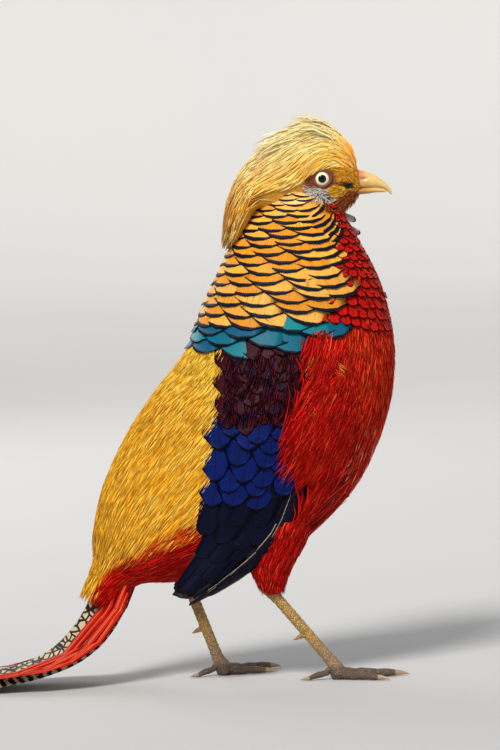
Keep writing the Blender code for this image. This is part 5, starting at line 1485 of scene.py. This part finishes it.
for side, word in SIDES:

    def flank_wanted(u, v, side=side):
        place = wing_skin(side)(u, v) - BIRD
        past = v - flank_edge(place[..., 2])
        on_body = root_on_body(place, 0.016)
        on_body &= place[..., 0] < np.interp(place[..., 2], *BELLY_FRONT) - 0.012
        thinning = 0.10 + 0.25 * np.clip(1 + past / 0.45, 0, 1) ** 2
        wisps = np.where((past > -0.45) & (place[..., 2] > 0.133), thinning, 0.0)
        return np.where(past > 0, 1.0, wisps) * (place[..., 2] < 0.226) * on_body

    u, v = scatter(wing_skin(side), FLANK_PLUMES, (0.10, 0.88), (0.05, 1.5), flank_wanted)
    colours = mixed(CRIMSON, SCARLET, CHANCE.random(FLANK_PLUMES) ** 0.6)
    flank_places = wing_skin(side)(u, v) - BIRD
    room = 0.016 + 0.010 * sum(root_on_body(flank_places, length) for length in (0.024, 0.033, 0.042))
    turns = CHANCE.normal(-0.55, 0.14, FLANK_PLUMES)
    lengths = np.minimum(CHANCE.uniform(0.022, 0.050, FLANK_PLUMES), room)
    widths = CHANCE.uniform(0.0006, 0.0016, FLANK_PLUMES)
    lifts = CHANCE.uniform(0.0010, 0.0030, FLANK_PLUMES), CHANCE.uniform(0.0046, 0.0068, FLANK_PLUMES)
    tints = varied(colours, FLANK_PLUMES, 0.2)
    bends = CHANCE.normal(0.15, 0.15, FLANK_PLUMES)
    coat = lay_feathers("flank_plumes_" + word, scarlet_silk, wing_skin(side), u, v, turns, lengths, widths,
                        lifts, tints, bend=bends, outside=-side, unwrap=FLANK_UNWRAP)


# The throat and the sides of the breast beside the cape: small rounded scarlet feathers with dark edges,
# in close rows.
SCALE_STEP = 0.26  # stations from row to row
SCALE_SPACING, SCALE_LENGTH, SCALE_WIDTH = 0.0080, 0.014, 0.0115
SCALE_STATIONS = (8.6, 12.7)
SCALE_END = math.radians(176)  # phi at which the two sides' rows meet under the throat
scarlet_scales = wing_material(
    "scarlet_scales", (0.24, 0.003, 0.003, 1), (0.56, 0.009, 0.005, 1), (0.022, 0.001, 0.001, 1), 0.06
)
scale_t, scale_phi = [], []
for row_index, station in enumerate(np.arange(*SCALE_STATIONS, SCALE_STEP)):
    start = float(cape_front(station)) - 0.12
    step = SCALE_SPACING / float(frame_of(body_skin, np.array(station), np.array(2.2))[2])
    for k in range(int((SCALE_END - start) / step)):
        place_phi = start + (k + 0.5 * (row_index % 2)) * step
        for side in (1, -1):
            scale_t.append(station + CHANCE.normal(0, 0.02))
            scale_phi.append(side * (place_phi + CHANCE.normal(0, 0.06) * step))
scale_t, scale_phi = np.array(scale_t), np.array(scale_phi)
count = len(scale_t)
turns = CHANCE.normal(0, 0.08, count) + 0.25 * np.sign(scale_phi) * smooth_step(2.9 - np.abs(scale_phi), 0, 1)
lengths = SCALE_LENGTH * CHANCE.uniform(0.9, 1.1, count)
widths = SCALE_WIDTH * CHANCE.uniform(0.9, 1.1, count)
lifts = 0.0004, CHANCE.uniform(0.0036, 0.0042, count)
scales = lay_feathers(
    "throat_feathers", scarlet_scales, body_skin, scale_t, scale_phi, turns, lengths, widths, lifts, PLAIN,
    OVAL, BLADE, QUILL, round_tip=0.40, camber=0.03, unwrap=(8, 13, -math.pi, math.pi), patch=0.01
)


# The tail: long feathers stacked like nested roofs under the middle pair, laid along the floor. The middle
# pair is black with cream spots, the others are barred with buff, and each vane falls away from a pale shaft.
TAIL_START = (-0.1035, 0.1010)  # x, z, inside the rump
TAIL_PITCH = math.radians(63)
TAIL_BEND = 0.118  # length over which it bends level
TAIL_REST = 0.0135  # height of the ridge where the tail has bent level
TAIL_SINK = 0.0105  # how far the ridge comes down to the floor from there on
TAIL_LENGTH = 0.700
STEEP, FLAT = math.radians(58), math.radians(9)  # how the vanes fall away from the ridge
RECTRICES = (0.700, 0.628, 0.556, 0.486, 0.416, 0.346, 0.276, 0.210, 0.160)  # lengths, middle pair first
LAYER = 0.0006  # from one pair to the next below it
HALF_WIDTH, STEP_OUT = 0.0285, 0.0009
TAIL_ROOT = 0.012  # where the feathers start
QUILL_SIDE = 0.0016  # width of the inner vane, past the shaft
ROOT_OUTLINE = ((TAIL_ROOT, 0.30), (0.040, 0.74), (0.065, 0.90), (0.090, 0.97), (0.115, 1.0))
TIP_OUTLINE = ((0.0, 1.0), (0.5, 1.0), (0.62, 0.93), (0.85, 0.60), (0.96, 0.24), (1.0, 0.04))
VANE_SHARES = (0.06, 0.28, 0.52, 0.76, 0.93, 1.0)  # of the outer vane, from shaft to edge
PATTERN_PLACES = (0.0, 0.5, 1.0, 1.35, 2.0, 2.6, 3.2, 3.7, 4.0)  # inner edge 0, shaft 1, outer edge 4
SHAFT_RISE = (0.0, 0.0003, 0.0007, 0.0003, 0.00012, 0.0001, 0.0001, 0.0001, 0.0)
TAIL_VANE = 0.00018  # half thickness
BAKE_LENGTH, BAKE_WIDTH = 0.71, 0.04  # metres of tail over the bake map, and of one vane
VANE_BLACK, VANE_BUFF = (0.010, 0.008, 0.010, 1), (0.58, 0.46, 0.28, 1)
BARB_BROWN, SHAFT_GREY = (0.03, 0.02, 0.015, 1), (0.40, 0.36, 0.30, 1)


def tail_line():
    """The ridge line, as tables of arc length, x, z and downward pitch."""
    s = np.linspace(0, TAIL_LENGTH, 701)
    ds = s[1]
    bend_drop = np.sum(np.sin(TAIL_PITCH * (1 - smooth_step(s[s < TAIL_BEND] / TAIL_BEND)))) * ds
    straight = (TAIL_START[1] - TAIL_REST - bend_drop) / math.sin(TAIL_PITCH)
    pitch = TAIL_PITCH * (1 - smooth_step((s - straight) / TAIL_BEND))
    x = TAIL_START[0] - np.concatenate([[0], np.cumsum(np.cos(pitch[:-1]) * ds)])
    z = TAIL_START[1] - np.concatenate([[0], np.cumsum(np.sin(pitch[:-1]) * ds)])
    return s, x, z, pitch


TAIL_S, TAIL_X, TAIL_Z, TAIL_TURN = tail_line()


def tail_point(s, w, depth):
    """A place on the tail: s along it, w to the left of the ridge, depth square under its upper face."""
    s, w, depth = np.broadcast_arrays(np.asarray(s, float), np.asarray(w, float), np.asarray(depth, float))
    x, z, turn = (np.interp(s, TAIL_S, table) for table in (TAIL_X, TAIL_Z, TAIL_TURN))
    sink = TAIL_SINK * smooth_step((s - 0.18) / 0.50)
    slope = STEEP + (FLAT - STEEP) * smooth_step((s - 0.03) / 0.095)
    fall = np.sqrt(w * w + 0.003**2) - 0.003
    below = fall * np.sin(slope) + depth / np.cos(slope)
    up_x, up_z = -np.sin(turn), np.cos(turn)
    return np.stack([x - up_x * below, w * np.cos(slope), z - up_z * below - sink], axis=-1) + BIRD


def barred_material(name, spotted):
    """Black vanes with cream spots, or with slanting buff bars, and a pale grey-buff shaft."""
    finish = {"Roughness": 0.5, "Specular_IOR_Level": 0.1}
    material, tree, shader, part = feather_material(name, 300.0, 0.05, 14.0, **finish)
    metric = add_node(tree, "UVMap", {"uv_map": "Millimetres"}).outputs[0]
    out, down, _ = add_node(tree, "SeparateXYZ", i0=metric).outputs
    tone = maths(tree, "MULTIPLY", part["Tone"], 90.0)
    if spotted:
        spot_place = add_node(tree, "CombineXYZ", i0=maths(tree, "MULTIPLY", out, 0.50),
                              i1=maths(tree, "MULTIPLY", down, 0.70), i2=tone).outputs[0]
        blur = add_node(tree, "TexNoise", Vector=spot_place, Scale=0.25, Detail=2.0).outputs["Color"]
        bent = mix_colours(tree, 1.0, blur, spot_place, "ADD")
        spots = add_node(tree, "TexVoronoi", {"feature": "DISTANCE_TO_EDGE"}, Vector=bent, Scale=0.30)
        marks = step_up(tree, spots.outputs["Distance"], 0.10, 0.18)
    else:
        slant = maths(tree, "ADD", maths(tree, "MULTIPLY", down, 0.16), maths(tree, "MULTIPLY", out, 0.10))
        wave_place = add_node(tree, "CombineXYZ", i0=slant, i1=maths(tree, "MULTIPLY", out, 0.06), i2=tone)
        wobble = noise(tree, wave_place.outputs[0], 1.6)
        phase = maths(tree, "ADD", maths(tree, "MULTIPLY", slant, 6.28), maths(tree, "MULTIPLY", wobble, 5.0))
        marks = step_up(tree, maths(tree, "SINE", phase), -0.1, 0.35)
    colour = mix_colours(tree, marks, VANE_BLACK, VANE_BUFF)
    colour = mix_colours(tree, maths(tree, "MULTIPLY", part["Barb"], 0.35), colour, BARB_BROWN)
    paint(tree, shader, mix_colours(tree, part["Shaft"], colour, SHAFT_GREY))
    roughen(tree, shader, part["Barb"], 0.0003, 0.7)
    return material


spotted = barred_material("spotted_vane", True)
barred = barred_material("barred_vane", False)


def tail_feather(work, layers, side, pair, tone_value):
    """Adds one tail feather to a bmesh: a grid between its two edges, raised over its shaft, and closed."""
    length = RECTRICES[pair]
    near_root = np.linspace(TAIL_ROOT, 0.2, 34)
    stations = np.concatenate([near_root, np.linspace(0.2, length, max(4, int(length * 90)))[1:]])
    stations = stations[stations <= length] if length > 0.2 else np.linspace(TAIL_ROOT, length, 30)
    wide = np.interp(stations, *np.array(ROOT_OUTLINE).T)
    wide = wide * np.interp(stations / length, *np.array(TIP_OUTLINE).T)
    outer = HALF_WIDTH * wide + STEP_OUT * pair * smooth_step((stations - 0.09) / 0.05)
    inner = np.full_like(stations, -QUILL_SIDE)
    shaft = np.minimum(0.0014, outer * 0.4)
    vane = [shaft + (outer - shaft) * share for share in VANE_SHARES]
    edges = np.stack([inner, (inner + shaft) / 2, shaft, *vane], axis=1)
    depth = LAYER * (1 + pair + (0.5 if side == LEFT else 0.0))
    top = tail_point(stations[:, None], side * edges, depth - TAIL_VANE - np.array(SHAFT_RISE))
    bottom = tail_point(stations[:, None], side * edges, depth + TAIL_VANE)
    feather_uv, metric_uv, bake_uv, tone_layer = layers
    rows, columns = edges.shape
    strip = pair * 2 + (1 if side == LEFT else 0)
    facts = {}
    grids = []
    for places in (top, bottom):
        grid = [[work.verts.new(places[i, j]) for j in range(columns)] for i in range(rows)]
        for i in range(rows):
            for j in range(columns):
                grid[i][j][tone_layer] = tone_value
                facts[grid[i][j]] = (PATTERN_PLACES[j], edges[i, j], stations[i])
        grids.append(grid)
    upper, lower = grids
    faces = []
    for i in range(rows - 1):
        for j in range(columns - 1):
            faces.append(work.faces.new((upper[i][j], upper[i][j + 1], upper[i + 1][j + 1], upper[i + 1][j])))
            faces.append(work.faces.new((lower[i][j], lower[i + 1][j], lower[i + 1][j + 1], lower[i][j + 1])))
        for j in (0, columns - 1):
            faces.append(work.faces.new((upper[i][j], upper[i + 1][j], lower[i + 1][j], lower[i][j])))
    for i in (0, rows - 1):
        for j in range(columns - 1):
            faces.append(work.faces.new((upper[i][j], lower[i][j], lower[i][j + 1], upper[i][j + 1])))
    band = 1.0 / (2 * len(RECTRICES))
    for face in faces:
        face.material_index = 0 if pair == 0 else 1
        for loop in face.loops:
            place, w, s = facts[loop.vert]
            from_shaft = (place - 1.0) / 3.0 if place > 1 else (place - 1.0)
            loop[feather_uv].uv = (0.5 + from_shaft * 0.5, s / length)
            loop[metric_uv].uv = (1000 * w, 1000 * s)
            loop[bake_uv].uv = ((strip + 0.05 + 0.9 * (w + 0.002) / BAKE_WIDTH) * band, s / BAKE_LENGTH)


tail_work = bmesh.new()
tail_layers = (tail_work.loops.layers.uv.new("Feather"), tail_work.loops.layers.uv.new("Millimetres"),
               tail_work.loops.layers.uv.new("OFBake"), tail_work.verts.layers.float.new("Tone"))
for pair in range(len(RECTRICES)):
    for side, _ in SIDES:
        tail_feather(tail_work, tail_layers, side, pair, float(CHANCE.random()))
tail = to_object(tail_work, "tail_feathers", spotted)
tail.data.materials.append(barred)
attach(tail, "root")
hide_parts("tail_root", "tail_bend", "tail_train", "tail_end")


# The tail coverts: long pointed scarlet feathers with a paler, orange shaft, that spring from under the
# golden rump on both sides and lie along the root of the tail.
COVERT_TIERS = (  # the tips' places to each side, first and last, their number, and how far down the tail
    (0.0350, 0.0405, 4, 0.125),
    (0.0340, 0.0385, 3, 0.150),
    (0.0320, 0.0350, 2, 0.185),
)
COVERT_ROOT = 0.022  # where they start, along the tail
COVERT_DARK, COVERT_RED = (0.20, 0.003, 0.002, 1), (0.60, 0.010, 0.004, 1)
COVERT_SHAFT = (0.78, 0.26, 0.07, 1)
LANCE = ((0.0, 0.6), (0.15, 0.95), (0.4, 1.0), (0.62, 0.85), (0.80, 0.55), (0.93, 0.24), (1.0, 0.05))
covert_material, covert_tree, covert_shader, covert_part = feather_material(
    "scarlet_coverts", 60.0, 0.10, 6.0, Roughness=0.5, Specular_IOR_Level=0.06
)
covert_colour = mix_colours(covert_tree, covert_part["Barb"], COVERT_DARK, COVERT_RED)
covert_colour = mix_colours(covert_tree, covert_part["Shaft"], covert_colour, COVERT_SHAFT)
paint(covert_tree, covert_shader, covert_colour)
roughen(covert_tree, covert_shader, covert_part["Barb"], 0.0003, 0.7)
for side, word in SIDES:

    def tail_side(u, v, side=side):
        return tail_point(-np.asarray(u, float), side * np.asarray(v, float), -0.0004)

    tip_s, tip_w, tier = [], [], []
    for row_index, (start_w, end_w, count, reach) in enumerate(COVERT_TIERS):
        for w in np.linspace(start_w, end_w, count):
            tip_w.append(w)
            tip_s.append(reach + CHANCE.uniform(-0.014, 0.012) - 0.5 * abs(w - 0.018))
            tier.append(row_index)
    tip_s, tip_w, tier = np.array(tip_s), np.array(tip_w), np.array(tier)
    turns = CHANCE.normal(0, 0.02, len(tip_s)) + 0.09
    widths = CHANCE.uniform(0.0050, 0.0070, len(tip_s))
    coverts = lay_feathers(
        "tail_coverts_" + word + "_plumes", covert_material, tail_side, -tip_s, tip_w, turns,
        tip_s - COVERT_ROOT, widths, (0.0010, 0.0026 - 0.0007 * tier), PLAIN, LANCE, BLADE, QUILL,
        camber=0.04, outside=-side, unwrap=(-0.22, 0, 0, 0.04), patch=0.05
    )
    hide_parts("tail_coverts_" + word)
